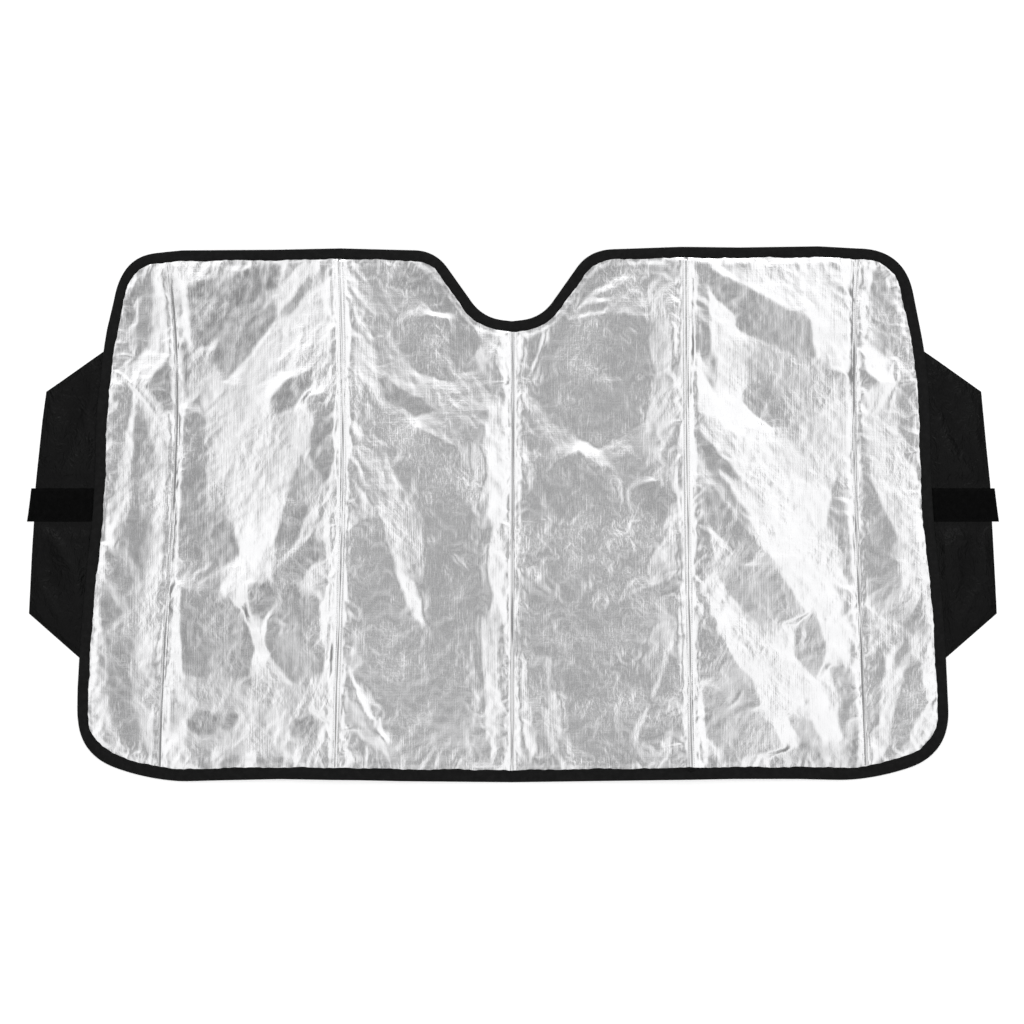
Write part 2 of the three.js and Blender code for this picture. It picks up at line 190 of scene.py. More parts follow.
def liftAt(x, y):
    # the sheet still stands in a shallow zigzag from being folded
    t = upShare(y)
    knots = [seamX(s, t) for s in seams]
    lifts = [s["lift"] for s in seams]
    knots = [-sideX(y)] + knots + [sideX(y)]
    lifts = [shade["sideLift"]] + lifts + [shade["sideLift"]]
    height = np.full(np.shape(x), float(shade["sideLift"]))
    for k in range(len(knots) - 1):
        width = np.maximum(knots[k + 1] - knots[k], 1)
        share = (x - knots[k]) / width
        here = (share >= 0) & (share <= 1)
        height = np.where(here, blend(lifts[k], lifts[k + 1], share), height)
    return height


# How far the shade, as it was laid down, strays from its drawn outline: along each side by height, and
# along the top and bottom edge by x.
astray = {
    "left": [(-400, -1), (-310, 0), (-260, -1.8), (-60, -1), (0, 0), (140, 0), (200, 1.8), (280, 1.5),
             (320, 4), (370, 6), (400, 6)],
    "right": [(-400, 2.5), (-130, 4), (0, 3), (100, 3), (230, 4.5), (400, 3)],
    "top": [(-600, -6), (-528, -6), (-495, -3), (-350, -2.6), (-258, -1), (-150, -3.3), (-48, -0.7),
            (42, -1.5), (130, -2.4), (190, -0.6), (252, 1.3), (342, 0.7), (460, 3), (520, 0), (600, 0)],
    "bottom": [(-600, -2.2), (-498, -1.8), (-438, 0.3), (-348, 2.9), (-228, 1.8), (-168, 0.4), (0, -1.3),
               (110, 0.3), (282, 2.7), (330, 3.2), (432, 2.4), (520, -0.5), (600, -2)],
    "sideRun": 80,
    "endRun": 150,
}


def laid(points):
    points = np.array(points, float)
    x, y = points[:, 0], points[:, 1]
    aside = {side: np.interp(y, *np.array(astray[side]).T) for side in ("left", "right")}
    ahead = {end: np.interp(x, *np.array(astray[end]).T) for end in ("top", "bottom")}
    outer = ease((np.abs(x) - shade["halfWidth"] + 30 + astray["sideRun"]) / astray["sideRun"])
    reach = np.where(y > 0, shade["top"], -shade["bottom"])
    end = ease((np.abs(y) - reach + astray["endRun"]) / astray["endRun"])
    points[:, 0] += outer * np.where(x > 0, aside["right"], aside["left"])
    points[:, 1] += end * np.where(y > 0, ahead["top"], ahead["bottom"])
    return points


# meshes
def newMesh(name, points, faces, material, smooth=True):
    mesh = bpy.data.meshes.new(name)
    mesh.from_pydata((laid(points) * mm).tolist(), [], faces)
    mesh.validate()
    mesh.materials.append(material)
    mesh.shade_smooth() if smooth else mesh.shade_flat()
    piece = bpy.data.objects.new(name, mesh)
    scene.collection.objects.link(piece)
    return piece


def gridFaces(columns, lines, start=0, flip=False):
    # quads over columns x lines points, numbered down each column
    faces = []
    for i in range(columns - 1):
        for j in range(lines - 1):
            a = start + i * lines + j
            quad = (a, a + lines, a + lines + 1, a + 1)
            faces.append(quad[::-1] if flip else quad)
    return faces


# a socket that takes part in sums
class Wire:
    def __init__(self, graph, socket):
        self.graph = graph
        self.socket = socket

    def work(self, operation, a, b):
        return self.graph.node("ShaderNodeMath", {"operation": operation}, {0: a, 1: b})

    def __add__(self, other):
        return self.work("ADD", self, other)

    def __sub__(self, other):
        return self.work("SUBTRACT", self, other)

    def __rsub__(self, other):
        return self.work("SUBTRACT", other, self)

    def __mul__(self, other):
        return self.work("MULTIPLY", self, other)

    def __truediv__(self, other):
        return self.work("DIVIDE", self, other)

    def __pow__(self, other):
        return self.work("POWER", self, other)

    __radd__ = __add__
    __rmul__ = __mul__


# a node tree under construction
class Graph:
    def __init__(self, tree):
        self.tree = tree

    def node(self, kind, settings=None, inputs=None, out=0):
        made = self.tree.nodes.new(kind)
        for key, value in (settings or {}).items():
            setattr(made, key, value)
        for key, value in (inputs or {}).items():
            socket = made.inputs[key]
            if isinstance(value, Wire):
                self.tree.links.new(value.socket, socket)
            else:
                socket.default_value = value
        return Wire(self, made.outputs[out] if len(made.outputs) else None)


# a material or world under construction
class Finish(Graph):
    def __init__(self, owner):
        owner.use_nodes = True
        super().__init__(owner.node_tree)
        self.owner = owner
        self.tree.nodes.clear()

    def noise(self, vector, scale, detail=3.0, rough=0.55, warp=0.0, out=0):
        values = {"Vector": vector, "Scale": scale, "Detail": detail, "Roughness": rough, "Distortion": warp}
        return self.node("ShaderNodeTexNoise", {}, values, out)

    def spread(self, value, low, high, toLow=0.0, toHigh=1.0):
        ends = {0: value, 1: low, 2: high, 3: toLow, 4: toHigh}
        return self.node("ShaderNodeMapRange", {"interpolation_type": "SMOOTHSTEP"}, ends)

    def stretch(self, vector, size, turn=0.0):
        spin = {"Vector": vector, "Scale": size, "Rotation": (0, 0, turn)}
        return self.node("ShaderNodeMapping", {}, spin)

    def drawn(self, vector, size, turn):
        # features of this size, drawn out along the turn
        spin = {"Vector": vector, "Scale": size, "Rotation": (0, 0, turn)}
        return self.node("ShaderNodeMapping", {"vector_type": "TEXTURE"}, spin)

    def mixColour(self, share, a, b):
        made = self.tree.nodes.new("ShaderNodeMix")
        made.data_type = "RGBA"
        for index, value in ((0, share), (6, a), (7, b)):
            if isinstance(value, Wire):
                self.tree.links.new(value.socket, made.inputs[index])
            else:
                made.inputs[index].default_value = value
        return Wire(self, made.outputs[2])

    def bump(self, height, strength, distance, normal=None):
        values = {"Height": height, "Strength": strength, "Distance": distance}
        if normal is not None:
            values["Normal"] = normal
        return self.node("ShaderNodeBump", {}, values)

    def surface(self, **sockets):
        values = {name.replace("_", " "): value for name, value in sockets.items()}
        shader = self.node("ShaderNodeBsdfPrincipled", {}, values)
        self.node("ShaderNodeOutputMaterial", {}, {"Surface": shader})
        return self.owner


def grey(value):
    return (value, value, value * 1.01, 1)


# aluminised film: how light, how rough, the depth of the scrim pressed into it, the share of the threads
# that run across, the depth of its grain, and the tone of the painted shade in the deepest creases
foilLook = {"grey": 0.83, "rough": 0.06, "scrim": 0.00028, "weft": 0.5, "grain": 0.00006, "painted_shade": 0.1}
# crumples with flat sides and sharp edges: length and width, the way they run, their depth, and the share
# of it that is left where the film is calm
crumples = [
    {"size": (0.034, 0.013, 1), "turn": 1.15, "depth": 0.0004, "calm": 0.12},
    {"size": (0.021, 0.010, 1), "turn": -0.75, "depth": 0.00032, "calm": 0.08},
    {"size": (0.010, 0.0055, 1), "turn": 1.9, "depth": 0.00015, "calm": 0.1},
    {"size": (0.0055, 0.0032, 1), "turn": 0.5, "depth": 0.00007, "calm": 0.2},
]


def foilFinish():
    f = Finish(bpy.data.materials.new("crinkled_foil"))
    place = f.node("ShaderNodeTexCoord", out="Object")
    patchy = f.spread(f.noise(place, 9.0, 3.0), 0.47, 0.72)
    worn = f.spread(f.noise(place, 14.0, 3.0, 0.6), 0.46, 0.74)
    bent = f.node("ShaderNodeVectorMath", {"operation": "MULTIPLY_ADD"},
                  {0: f.noise(place, 38.0, 2.0, out="Color"), 1: (0.006, 0.006, 0), 2: place})
    height = None
    for k, rule in enumerate(crumples):
        share = worn if k % 2 else patchy
        tent = f.node("ShaderNodeTexVoronoi", {"distance": "MANHATTAN"},
                      {"Vector": f.drawn(bent, rule["size"], rule["turn"]), "Scale": 1.0})
        height = f.bump(tent * (rule["calm"] + (1 - rule["calm"]) * share), 1.0, rule["depth"], height)
    warpThread = f.noise(f.stretch(place, (420, 26, 1)), 1.0, 2.0)
    weftThread = f.noise(f.stretch(place, (22, 360, 1)), 1.0, 2.0)
    threads = (warpThread + weftThread * foilLook["weft"]) * (0.45 + 0.8 * worn)
    height = f.bump(threads, 1.0, foilLook["scrim"], height)
    height = f.bump(f.noise(place, 700.0, 2.0), 1.0, foilLook["grain"], height)
    film = foilLook["grey"]
    tone = f.mixColour(f.noise(place, 30.0, 4.0), grey(film * 0.92), grey(film * 1.06))
    # painted shade: the colour is pulled to a dark grey in the fold creases and on the grey facets
    painted_shade = f.node("ShaderNodeAttribute", {"attribute_name": "painted_shade"}, out="Fac")
    tone = f.mixColour(painted_shade, tone, grey(foilLook["painted_shade"]))
    rough = foilLook["rough"] + 0.05 * patchy
    return f.surface(Base_Color=tone, Metallic=1.0, Roughness=rough, Normal=height)


# woven black tape: ribs across its width, seen by its own UV map in millimetres
def weaveFinish(name, dark, light, rough, rib, depth, level=0.12):
    f = Finish(bpy.data.materials.new(name))
    run = f.node("ShaderNodeUVMap", {"uv_map": "cloth"})
    parts = f.node("ShaderNodeSeparateXYZ", {}, {0: run})
    across = Wire(f, parts.socket.node.outputs[1])
    ribs = f.node("ShaderNodeMath", {"operation": "SINE"}, {0: parts * (2 * math.pi / rib)})
    cross = f.node("ShaderNodeMath", {"operation": "SINE"}, {0: across * (2 * math.pi / (rib * 1.6))})
    weave = ribs * cross
    wear = f.noise(run, 0.12, 4.0, 0.6)
    tone = f.mixColour(f.spread(wear + weave * 0.06, 0.35, 0.75), grey(dark), grey(light))
    normal = f.bump(weave * 0.5 + f.noise(run, 3.0, 2.0) * 0.6, 0.6, depth)
    return f.surface(Base_Color=tone, Roughness=rough, Specular_IOR_Level=level, Normal=normal)


# thin nylon with a soft sheen, rougher in the hollows of its folds, where painted shade darkens its colour
def sheenFinish():
    f = Finish(bpy.data.materials.new("black_taffeta"))
    run = f.node("ShaderNodeUVMap", {"uv_map": "cloth"})
    painted_shade = f.node("ShaderNodeAttribute", {"attribute_name": "painted_shade"}, out="Fac")
    weave = f.noise(f.stretch(run, (1.1, 0.25, 1)), 1.0, 2.0)
    weave = weave + f.noise(f.stretch(run, (0.25, 1.1, 1)), 1.0, 2.0)
    crease = f.noise(f.stretch(run, (1, 0.6, 1), 0.5), 0.05, 4.0, 0.6, 0.5)
    ridges = f.node("ShaderNodeMath", {"operation": "ABSOLUTE"}, {0: crease - 0.5})
    normal = f.bump(ridges, 1.0, 0.006, f.bump(weave, 0.5, 0.00004))
    # painted shade: the cloth's colour is darker in the hollows of its folds
    tone = f.mixColour(painted_shade, grey(0.003), grey(0.001))
    return f.surface(Base_Color=tone, Roughness=0.27 + 0.1 * painted_shade, Specular_IOR_Level=0.11, Normal=normal)


def threadFinish(name, tone, level):
    f = Finish(bpy.data.materials.new(name))
    place = f.node("ShaderNodeTexCoord", out="Object")
    twist = f.noise(place, 900.0, 2.0)
    colour = f.mixColour(twist, grey(tone * 0.75), grey(tone * 1.15))
    return f.surface(Base_Color=colour, Roughness=0.7, Specular_IOR_Level=level,
                     Normal=f.bump(twist, 0.5, 0.0002))


foil = foilFinish()
bindingCloth = weaveFinish("black_binding_weave", 0.006, 0.011, 0.7, 1.6, 0.0002)
wingCloth = sheenFinish()
pileCloth = weaveFinish("black_pile", 0.0031, 0.005, 0.95, 1.2, 0.0003, 0.05)
silverThread = threadFinish("silver_thread", 0.5, 0.3)
blackThread = threadFinish("black_thread", 0.006, 0.1)
print("finishes mixed")


# camera and light, needed here because level facets face the camera
studio = {
    "overhead": 0.325,
    "sides": 1.2,
    "rampTo": 1.15,
    "coreX": -0.02,
    "coreY": -0.03,
    "walls": 0.3,
    "wallsFrom": (0.5, 0.85),
    "horizon": 0.55,
    "nearX": 0.27,
    "nearY": 0.36,
    "tilt": 0.2,
    "floorGlow": 0.5,
    "lamp": 20,
    "cameraHeight": 3.413,
    "lens": 80,
    "centreY": 0.0044,
}

# relief of the foil, worked out on a flat map of the sheet
reliefMap = {"step": 2.0, "reachX": 672, "reachY": 416, "seed": 17}
mapX = np.arange(-reliefMap["reachX"], reliefMap["reachX"] + 0.1, reliefMap["step"])
mapY = np.arange(-reliefMap["reachY"], reliefMap["reachY"] + 0.1, reliefMap["step"])
gridX, gridY = np.meshgrid(mapX, mapY)
dice = np.random.default_rng(reliefMap["seed"])


def rimDistance(x, y):
    # how far inside the rim each point is, below zero outside it
    x = np.abs(x)
    coarse = np.vstack([rim[::6], rim[-1:], [[-9, rim[-1][1]]]])
    nearest = np.full(x.shape, 1e9)
    for p in coarse:
        nearest = np.minimum(nearest, (x - p[0]) ** 2 + (y - p[1]) ** 2)
    inside = np.zeros(x.shape, bool)
    for p, q in zip(coarse[:-1], coarse[1:]):
        crosses = (p[0] > x) != (q[0] > x)
        if p[0] != q[0]:
            level = p[1] + (x - p[0]) * (q[1] - p[1]) / (q[0] - p[0])
            inside ^= crosses & (y < level)
    return np.where(inside, 1, -1) * np.sqrt(nearest)


fromRim = rimDistance(gridX, gridY)
mapShare = upShare(gridY)
seamOffsets = [gridX - seamX(s, mapShare) for s in seams]
fromSeam = np.min([np.abs(o) - s["strip"] for o, s in zip(seamOffsets, seams)], axis=0)
baseLift = liftAt(gridX, gridY)
print("sheet mapped,", gridX.size, "points")


def softNoise(lengthX, lengthY, turn, seed):
    # smooth random field, about unit size, with features of these lengths turned by turn degrees
    white = np.random.default_rng(seed).standard_normal(gridX.shape)
    fx = np.fft.fftfreq(gridX.shape[1], reliefMap["step"])[None, :]
    fy = np.fft.fftfreq(gridX.shape[0], reliefMap["step"])[:, None]
    a = math.radians(turn)
    u = fx * math.cos(a) + fy * math.sin(a)
    v = fy * math.cos(a) - fx * math.sin(a)
    keep = np.exp(-((u * lengthX) ** 2 + (v * lengthY) ** 2) * 2)
    field = np.real(np.fft.ifft2(np.fft.fft2(white) * keep))
    return field / field.std()


# Facets of slack film, as they lie in the photograph. Bright ones: how steep, which way the film rises
# there in degrees, and the corners as x, y pairs.
brightFacets = [
    # left flap
    (0.15, 346, -537, 373, -528, 374, -514, 300, -512, 240, -545, 250, -536, 290),
    (0.16, 318, -588, 212, -580, 228, -560, 236, -512, 238, -530, 214, -552, 196, -568, 194),
    (0.13, 23, -567, 190, -555, 180, -548, 150, -553, 150),
    (0.14, 1, -555, 172, -520, 152, -509, 115, -511, 45, -530, 48, -536, 120),
    (0.12, 348, -578, 108, -570, 108, -571, 75, -590, 5, -598, 40),
    (0.13, 337, -560, 58, -545, 68, -530, 62, -542, 30, -555, 38),
    (0.17, 358, -531, 45, -515, 46, -512, -60, -538, -76, -541, -40),
    (0.12, 5, -545, -72, -529, -68, -526, -170, -540, -225, -562, -205, -563, -160),
    (0.15, 14, -632, -225, -622, -225, -618, -290, -634, -288),
    (0.14, 27, -518, -257, -496, -250, -472, -284, -484, -292, -503, -280),
    (0.12, 19, -524, -258, -548, -247, -566, -250, -548, -275),
    (0.12, 21, -546, -290, -530, -275, -527, -365, -550, -352, -562, -315),
    # second section
    (0.14, 349, -503, 374, -470, 352, -470, 325, -488, 290, -506, 335),
    (0.13, 353, -368, 328, -345, 350, -312, 380, -285, 380, -290, 350, -345, 300, -376, 290),
    (0.12, 332, -352, 288, -290, 345, -282, 300, -296, 250, -330, 215, -402, 190, -392, 228),
    (0.12, 288, -505, 205, -485, 222, -464, 192, -478, 168),
    (0.1, 343, -470, 205, -400, 192, -310, 155, -300, 112, -330, 60, -440, 58, -456, 120),
    (0.12, 358, -450, 60, -310, 100, -348, -10, -380, -60, -410, -20),
    (0.17, 355, -402, 0, -352, 0, -376, -75, -438, -132, -443, -118, -412, -60),
    (0.12, 356, -296, 10, -306, -25, -346, -75, -352, -62, -318, -15),
    (0.12, 356, -326, -84, -276, -68, -279, -95, -318, -101),
    (0.12, 4, -350, -252, -302, -262, -312, -300, -342, -352, -372, -380, -392, -380, -380, -330),
    (0.14, 11, -290, -150, -275, -165, -275, -290, -300, -290, -303, -255),
    (0.1, 3, -450, -345, -402, -324, -380, -342, -396, -376, -450, -376),
    (0.12, 16, -290, -330, -275, -330, -275, -375, -315, -380),
    # third section
    (0.09, 231, -232, 372, -206, 340, -204, 300, -216, 308, -242, 360),
    (0.1, 212, -238, 245, -218, 262, -204, 250, -206, 188, -240, 200),
    (0.07, 221, -192, 255, -178, 272, -150, 216, -148, 196, -178, 208),
    (0.15, 199, -16, 272, 0, 272, 0, 188, -12, 195, -23, 230, -22, 252),
    (0.12, 284, -88, 178, -45, 170, -38, 155, -92, 160),
    (0.14, 191, -38, 155, -6, 160, -5, 100, -8, 60, -32, 62, -42, 112),
    (0.17, 173, -31, 35, -11, 35, -12, -150, -30, -150, -38, -60),
    (0.13, 7, -62, 112, -46, 100, -38, 58, -46, 44, -60, 60),
    (0.13, 5, -78, 26, -60, 52, -45, 40, -55, 4, -70, 10),
    (0.11, 247, -238, 102, -208, 100, -168, 30, -200, 0, -226, 42),
    (0.12, 177, -206, 40, -160, 32, -130, 0, -127, -90, -172, -90, -186, -40),
    (0.16, 188, -180, -78, -150, -94, -133, -128, -133, -160, -150, -150),
    (0.14, 0, -240, -30, -224, -40, -204, -80, -212, -86, -236, -56),
    (0.08, 170, -242, -160, -222, -172, -208, -212, -213, -226, -236, -188),
    (0.14, 61, -250, -270, -225, -284, -194, -332, -178, -360, -196, -380, -225, -342, -252, -312),
    (0.14, 169, -252, -330, -236, -368, -230, -380, -248, -380),
    (0.12, 121, -76, -330, -92, -378, -102, -376),
    (0.12, 132, -72, -332, -50, -378, -62, -378),
    (0.13, 165, -47, -150, -20, -152, -15, -330, -40, -332, -43, -230),
    # fourth section
    (0.13, 339, 4, 271, 17, 270, 15, 240, 5, 195),
    (0.13, 335, 45, 286, 56, 286, 36, 200, 18, 186, 30, 222),
    (0.13, 298, 106, 335, 150, 380, 166, 380, 132, 336, 116, 324),
    (0.12, 347, 208, 342, 222, 332, 243, 272, 236, 262, 206, 265),
    (0.11, 347, 206, 200, 238, 205, 240, 100, 218, 105),
    (0.15, 3, 205, 262, 242, 260, 237, 206, 210, 214),
    (0.16, 358, 208, 60, 228, 76, 247, 70, 248, 36, 225, 42),
    (0.13, 356, 216, 0, 232, 22, 250, 14, 246, -6),
    (0.16, 356, 238, -10, 250, -28, 250, -94, 206, -96, 202, -84),
    (0.09, 54, 183, -130, 206, -132, 200, -152, 186, -166),
    (0.1, 353, 206, -168, 236, -150, 245, -166, 236, -200, 215, -250, 192, -250, 202, -200),
    (0.13, 358, 244, -158, 251, -166, 226, -240, 186, -340, 179, -332, 214, -250),
    (0.14, 108, 206, -300, 236, -266, 250, -290, 225, -306),
    (0.13, 16, 240, -330, 252, -318, 250, -370, 236, -370),
    (0.15, 170, 10, -95, 18, -200, 28, -280, 42, -375, 30, -376, 12, -300),
    (0.14, 19, 50, -208, 60, -216, 76, -292, 74, -325, 60, -370, 44, -300),
    (0.08, 204, 24, -42, 60, -92, 86, -132, 78, -142, 45, -112, 24, -72),
    (0.08, 11, 150, -250, 192, -240, 186, -300, 156, -332),
    # fifth section
    (0.12, 201, 286, 325, 305, 326, 332, 270, 336, 255, 302, 245, 285, 290),
    (0.1, 211, 300, 381, 512, 381, 500, 356, 352, 350),
    (0.09, 198, 442, 310, 500, 302, 510, 250, 490, 222, 462, 240, 450, 290),
    (0.15, 190, 365, 136, 400, 126, 440, 141, 514, 186, 506, 60, 420, 60, 342, 100),
    (0.15, 191, 282, 130, 330, 110, 420, 60, 480, 40, 470, -20, 440, -58, 390, -68, 352, 0, 312, 60),
    (0.15, 187, 326, -120, 350, -144, 420, -165, 430, -220, 350, -242, 308, -170),
    (0.16, 179, 346, -236, 430, -216, 474, -265, 498, -335, 482, -346, 430, -310, 390, -280),
    (0.13, 159, 286, -312, 300, -326, 330, -380, 308, -380),
    (0.14, 156, 472, -190, 500, -180, 512, -196, 500, -240, 485, -222),
    # right flap
    (0.16, 224, 525, 252, 545, 262, 575, 236, 598, 240, 597, 216, 575, 199, 550, 197, 530, 220),
    (0.14, 0, 577, 192, 586, 186, 606, 150, 606, 138, 590, 158),
    (0.11, 190, 532, 95, 560, 128, 588, 100, 604, 60, 608, -20, 600, -78, 560, -58, 541, 30),
    (0.14, 174, 592, -172, 618, -184, 632, -200, 632, -288, 620, -272, 612, -222, 598, -214),
    (0.13, 157, 560, -302, 576, -258, 590, -236, 580, -290, 562, -354, 552, -350),
    (0.14, 147, 606, -320, 620, -302, 602, -344, 586, -366),
]
# Duller ones, which lie level: how far they lean towards the dark patch overhead, which also sets how much
# painted shade darkens their colour, and the corners.
greyFacets = [
    # left flap
    (0.8, -562, 374, -546, 380, -538, 340, -538, 285, -548, 255, -562, 237),
    (1.3, -586, 330, -564, 346, -564, 290, -586, 290),
    (1.5, -526, 378, -520, 378, -508, 312, -511, 300),
    (1, -551, 193, -503, 200, -503, 150, -520, 160),
    (1, -532, 215, -508, 240, -504, 202, -546, 198),
    (0.7, -602, 196, -570, 190, -573, 150, -584, 110, -606, 112),
    (0.8, -562, 150, -550, 135, -538, 95, -540, 70, -560, 56, -570, 72, -568, 120),
    (0.7, -570, 50, -549, 25, -541, -5, -543, -45, -560, -76, -572, -60),
    (1, -608, -52, -590, -74, -568, -100, -585, -106, -602, -90),
    (0.9, -625, -128, -600, -128, -588, -150, -610, -162),
    (0.6, -606, -180, -582, -198, -570, -300, -560, -350, -576, -366, -602, -280),
    # second section
    (1.5, -486, 350, -455, 352, -382, 362, -372, 340, -372, 302, -420, 275, -460, 252, -484, 260),
    (1.4, -402, 368, -345, 376, -350, 342, -386, 336),
    (1, -442, 272, -382, 300, -356, 325, -354, 300, -400, 232, -430, 206, -452, 232),
    (0.7, -346, 304, -302, 360, -296, 352, -334, 298),
    (1.1, -366, 172, -342, 200, -300, 216, -304, 190, -330, 158, -350, 154),
    (1.1, -310, 176, -276, 180, -285, 160, -300, 158),
    (0.9, -298, 150, -272, 170, -270, 60, -280, 50, -298, 80),
    (0.8, -491, 160, -468, 150, -458, 100, -460, 0, -496, 0),
    (1.3, -510, 360, -500, 345, -493, 282, -497, 252, -504, 280),
    (1.4, -500, 262, -486, 256, -478, 240, -489, 196, -498, 230),
    (0.8, -498, 0, -456, 2, -415, -10, -413, -60, -432, -80, -496, -60),
    (1, -342, 12, -298, 18, -318, -28, -350, -72, -352, -42),
    (1.1, -360, -90, -300, -36, -279, -40, -280, -66, -330, -92, -358, -101),
    (1.1, -394, -104, -332, -102, -330, -120, -372, -146, -393, -146),
    (0.8, -346, -102, -325, -104, -312, -130, -330, -148, -350, -140),
    (0.7, -496, -110, -440, -116, -400, -150, -388, -200, -395, -240, -492, -240),
    (1.2, -491, -305, -460, -298, -410, -300, -420, -316, -465, -331, -482, -320),
    (1.1, -326, -305, -300, -300, -282, -312, -300, -331, -330, -331),
    # third section
    (0.5, -196, 202, -180, 196, -120, 156, -150, 150, -190, 174),
    (0.6, -186, 348, -146, 336, -115, 305, -74, 300, -92, 322, -150, 372),
    (0.3, -160, 300, -52, 292, -52, 250, -90, 200, -140, 214, -160, 270),
    (-0.15, -142, 130, -85, 100, -75, 50, -58, 0, -48, -100, -60, -200, -130, -190, -130, 0),
    (-0.25, -246, -20, -202, -8, -182, -60, -166, -110, -200, -142, -246, -100),
    (0.05, -250, -116, -232, -103, -190, -100, -170, -140, -160, -182, -200, -150, -246, -122),
    (-0.35, -236, -232, -140, -180, -100, -200, -80, -280, -120, -322, -180, -300),
    (-0.05, -248, -314, -236, -326, -200, -378, -214, -380),
    (0.15, -26, -356, -5, -346, -5, -378, -26, -378),
    # fourth section
    (0.3, 44, 275, 30, 256, 10, 190, 22, 200, 35, 240),
    (0, 60, 290, 130, 300, 200, 300, 205, 200, 195, 140, 130, 100, 62, 150, 55, 220),
    (0.4, 60, 298, 110, 316, 140, 320, 138, 308, 90, 300),
    (0.2, 116, 326, 180, 352, 172, 340, 148, 328),
    (0.4, 223, 100, 236, 90, 248, 78, 240, 77, 226, 85),
    (0.4, 192, 42, 210, 52, 246, 30, 250, 22, 225, 9, 212, 10),
    (0.2, 200, 18, 232, 5, 202, -58, 160, -120, 140, -100, 184, -30),
    (0.4, 178, -120, 206, -108, 245, -98, 250, -118, 210, -126, 182, -131),
    (0.3, 165, -130, 180, -124, 190, -168, 178, -176, 164, -202, 146, -206, 154, -170),
    (0.2, 251, -198, 241, -258, 214, -302, 224, -250, 238, -210),
    (0.4, 246, -298, 256, -314, 200, -346, 190, -336, 225, -312),
    (0.4, 130, -378, 150, -358, 175, -354, 192, -379),
    (0.2, 16, -130, 30, -130, 36, -196, 52, -202, 55, -210, 18, -210),
    (0.1, 70, -150, 140, -130, 150, -200, 130, -262, 92, -330, 80, -280, 75, -200),
    (-0.1, 50, 60, 100, 100, 140, 40, 140, -90, 90, -110, 60, -20),
    # fifth section
    (0.45, 274, 375, 320, 352, 400, 312, 345, 292, 300, 330),
    (0.55, 342, 328, 400, 312, 448, 290, 456, 236, 400, 250, 336, 284),
    (0.45, 345, 170, 360, 148, 385, 132, 410, 132, 430, 168, 400, 196, 360, 196),
    (0.35, 402, 195, 420, 142, 500, 183, 515, 192, 496, 216, 455, 216),
    (0.55, 275, 125, 292, 110, 346, 55, 340, 46, 310, 70, 275, 96),
    (0.25, 272, 46, 300, 40, 370, -48, 350, -72, 300, -20, 272, -8),
    (0.25, 274, -16, 300, -30, 300, -78, 275, -82),
    (0.55, 275, -88, 290, -74, 302, -80, 286, -93),
    (0.45, 300, -68, 345, -78, 400, -88, 440, -148, 408, -161, 350, -144, 322, -110),
    (0.45, 480, 5, 500, -8, 510, -50, 498, -52, 488, -20),
    (-0.05, 426, -160, 455, -146, 470, -200, 458, -240, 425, -212),
    (0.25, 275, -160, 310, -190, 346, -246, 372, -282, 350, -292, 300, -242, 275, -250),
    (0.15, 285, -252, 350, -292, 392, -312, 410, -350, 330, -372, 290, -330),
    (0.45, 412, -300, 450, -308, 472, -352, 440, -346),
    (0.55, 278, -304, 300, -299, 302, -316, 286, -311),
    (0.15, 480, -232, 496, -225, 511, -290, 500, -322, 485, -280),
    (0.25, 470, -348, 512, -352, 512, -380, 460, -380),
    # right flap
    (0.45, 540, 365, 560, 371, 565, 330, 563, 262, 560, 240, 548, 254, 541, 300),
    (-0.25, 565, 350, 576, 300, 571, 250, 563, 244, 565, 300),
    (0.35, 560, 371, 576, 356, 591, 312, 576, 320, 567, 342),
    (0.45, 525, 223, 531, 212, 551, 198, 527, 198),
    (0.25, 576, 196, 600, 216, 606, 170, 610, 130, 596, 122, 580, 160),
    (0.35, 580, 150, 611, 125, 612, 100, 590, 104, 580, 130),
    (0.05, 528, 70, 536, 52, 560, 0, 576, -35, 550, -71, 530, -82),
    (0.35, 548, -150, 590, -138, 625, -140, 628, -176, 600, -178, 580, -162),
    (0.15, 530, -216, 590, -166, 584, -180, 558, -212, 553, -290, 549, -332),
    (-0.05, 590, -230, 611, -235, 613, -290, 600, -312, 580, -352, 564, -366, 562, -340, 575, -280),
    # along the notch and the bottom edge
    (0.8, -165, 384, -100, 378, -92, 345, -48, 290, -70, 282, -122, 335, -160, 352),
    (0.8, 165, 384, 104, 378, 92, 345, 50, 290, 76, 284, 128, 340, 162, 356),
    (0.4, 273, 378, 292, 378, 297, 250, 275, 245),
    (1, 388, -368, 440, -346, 520, -338, 530, -384, 385, -386),
    (0.9, -486, -372, -452, -384, -418, -384, -395, -372, -370, -384, -330, -385, -318, -376, -345, -366,
     -440, -362),
    (0.9, -308, -384, -268, -385, -268, -366, -290, -370),
    (0.8, -245, -384, -180, -385, -196, -372, -236, -370),
    (0.8, -150, -384, -60, -385, -84, -371, -130, -372),
    (0.9, 24, -384, 66, -385, 50, -366, 28, -362),
    (0.9, 92, -384, 176, -385, 150, -368, 108, -372),
    (0.9, 206, -384, 262, -384, 262, -364, 228, -372),
    (0.9, 290, -384, 356, -384, 340, -368, 300, -366),
    (0.3, -350, -120, -292, -125, -280, -235, -330, -250, -372, -190),
]
# random facets of slack film, from large to small: size, how drawn out, and how steep
shards = [
    {"size": 42, "drawn": 2.6, "slope": 0.03, "seed": 101, "calm": 0.85},
    {"size": 16, "drawn": 2.2, "slope": 0.085, "seed": 102, "calm": 0.2},
    {"size": 7, "drawn": 1.8, "slope": 0.09, "seed": 103, "calm": 0.1},
]
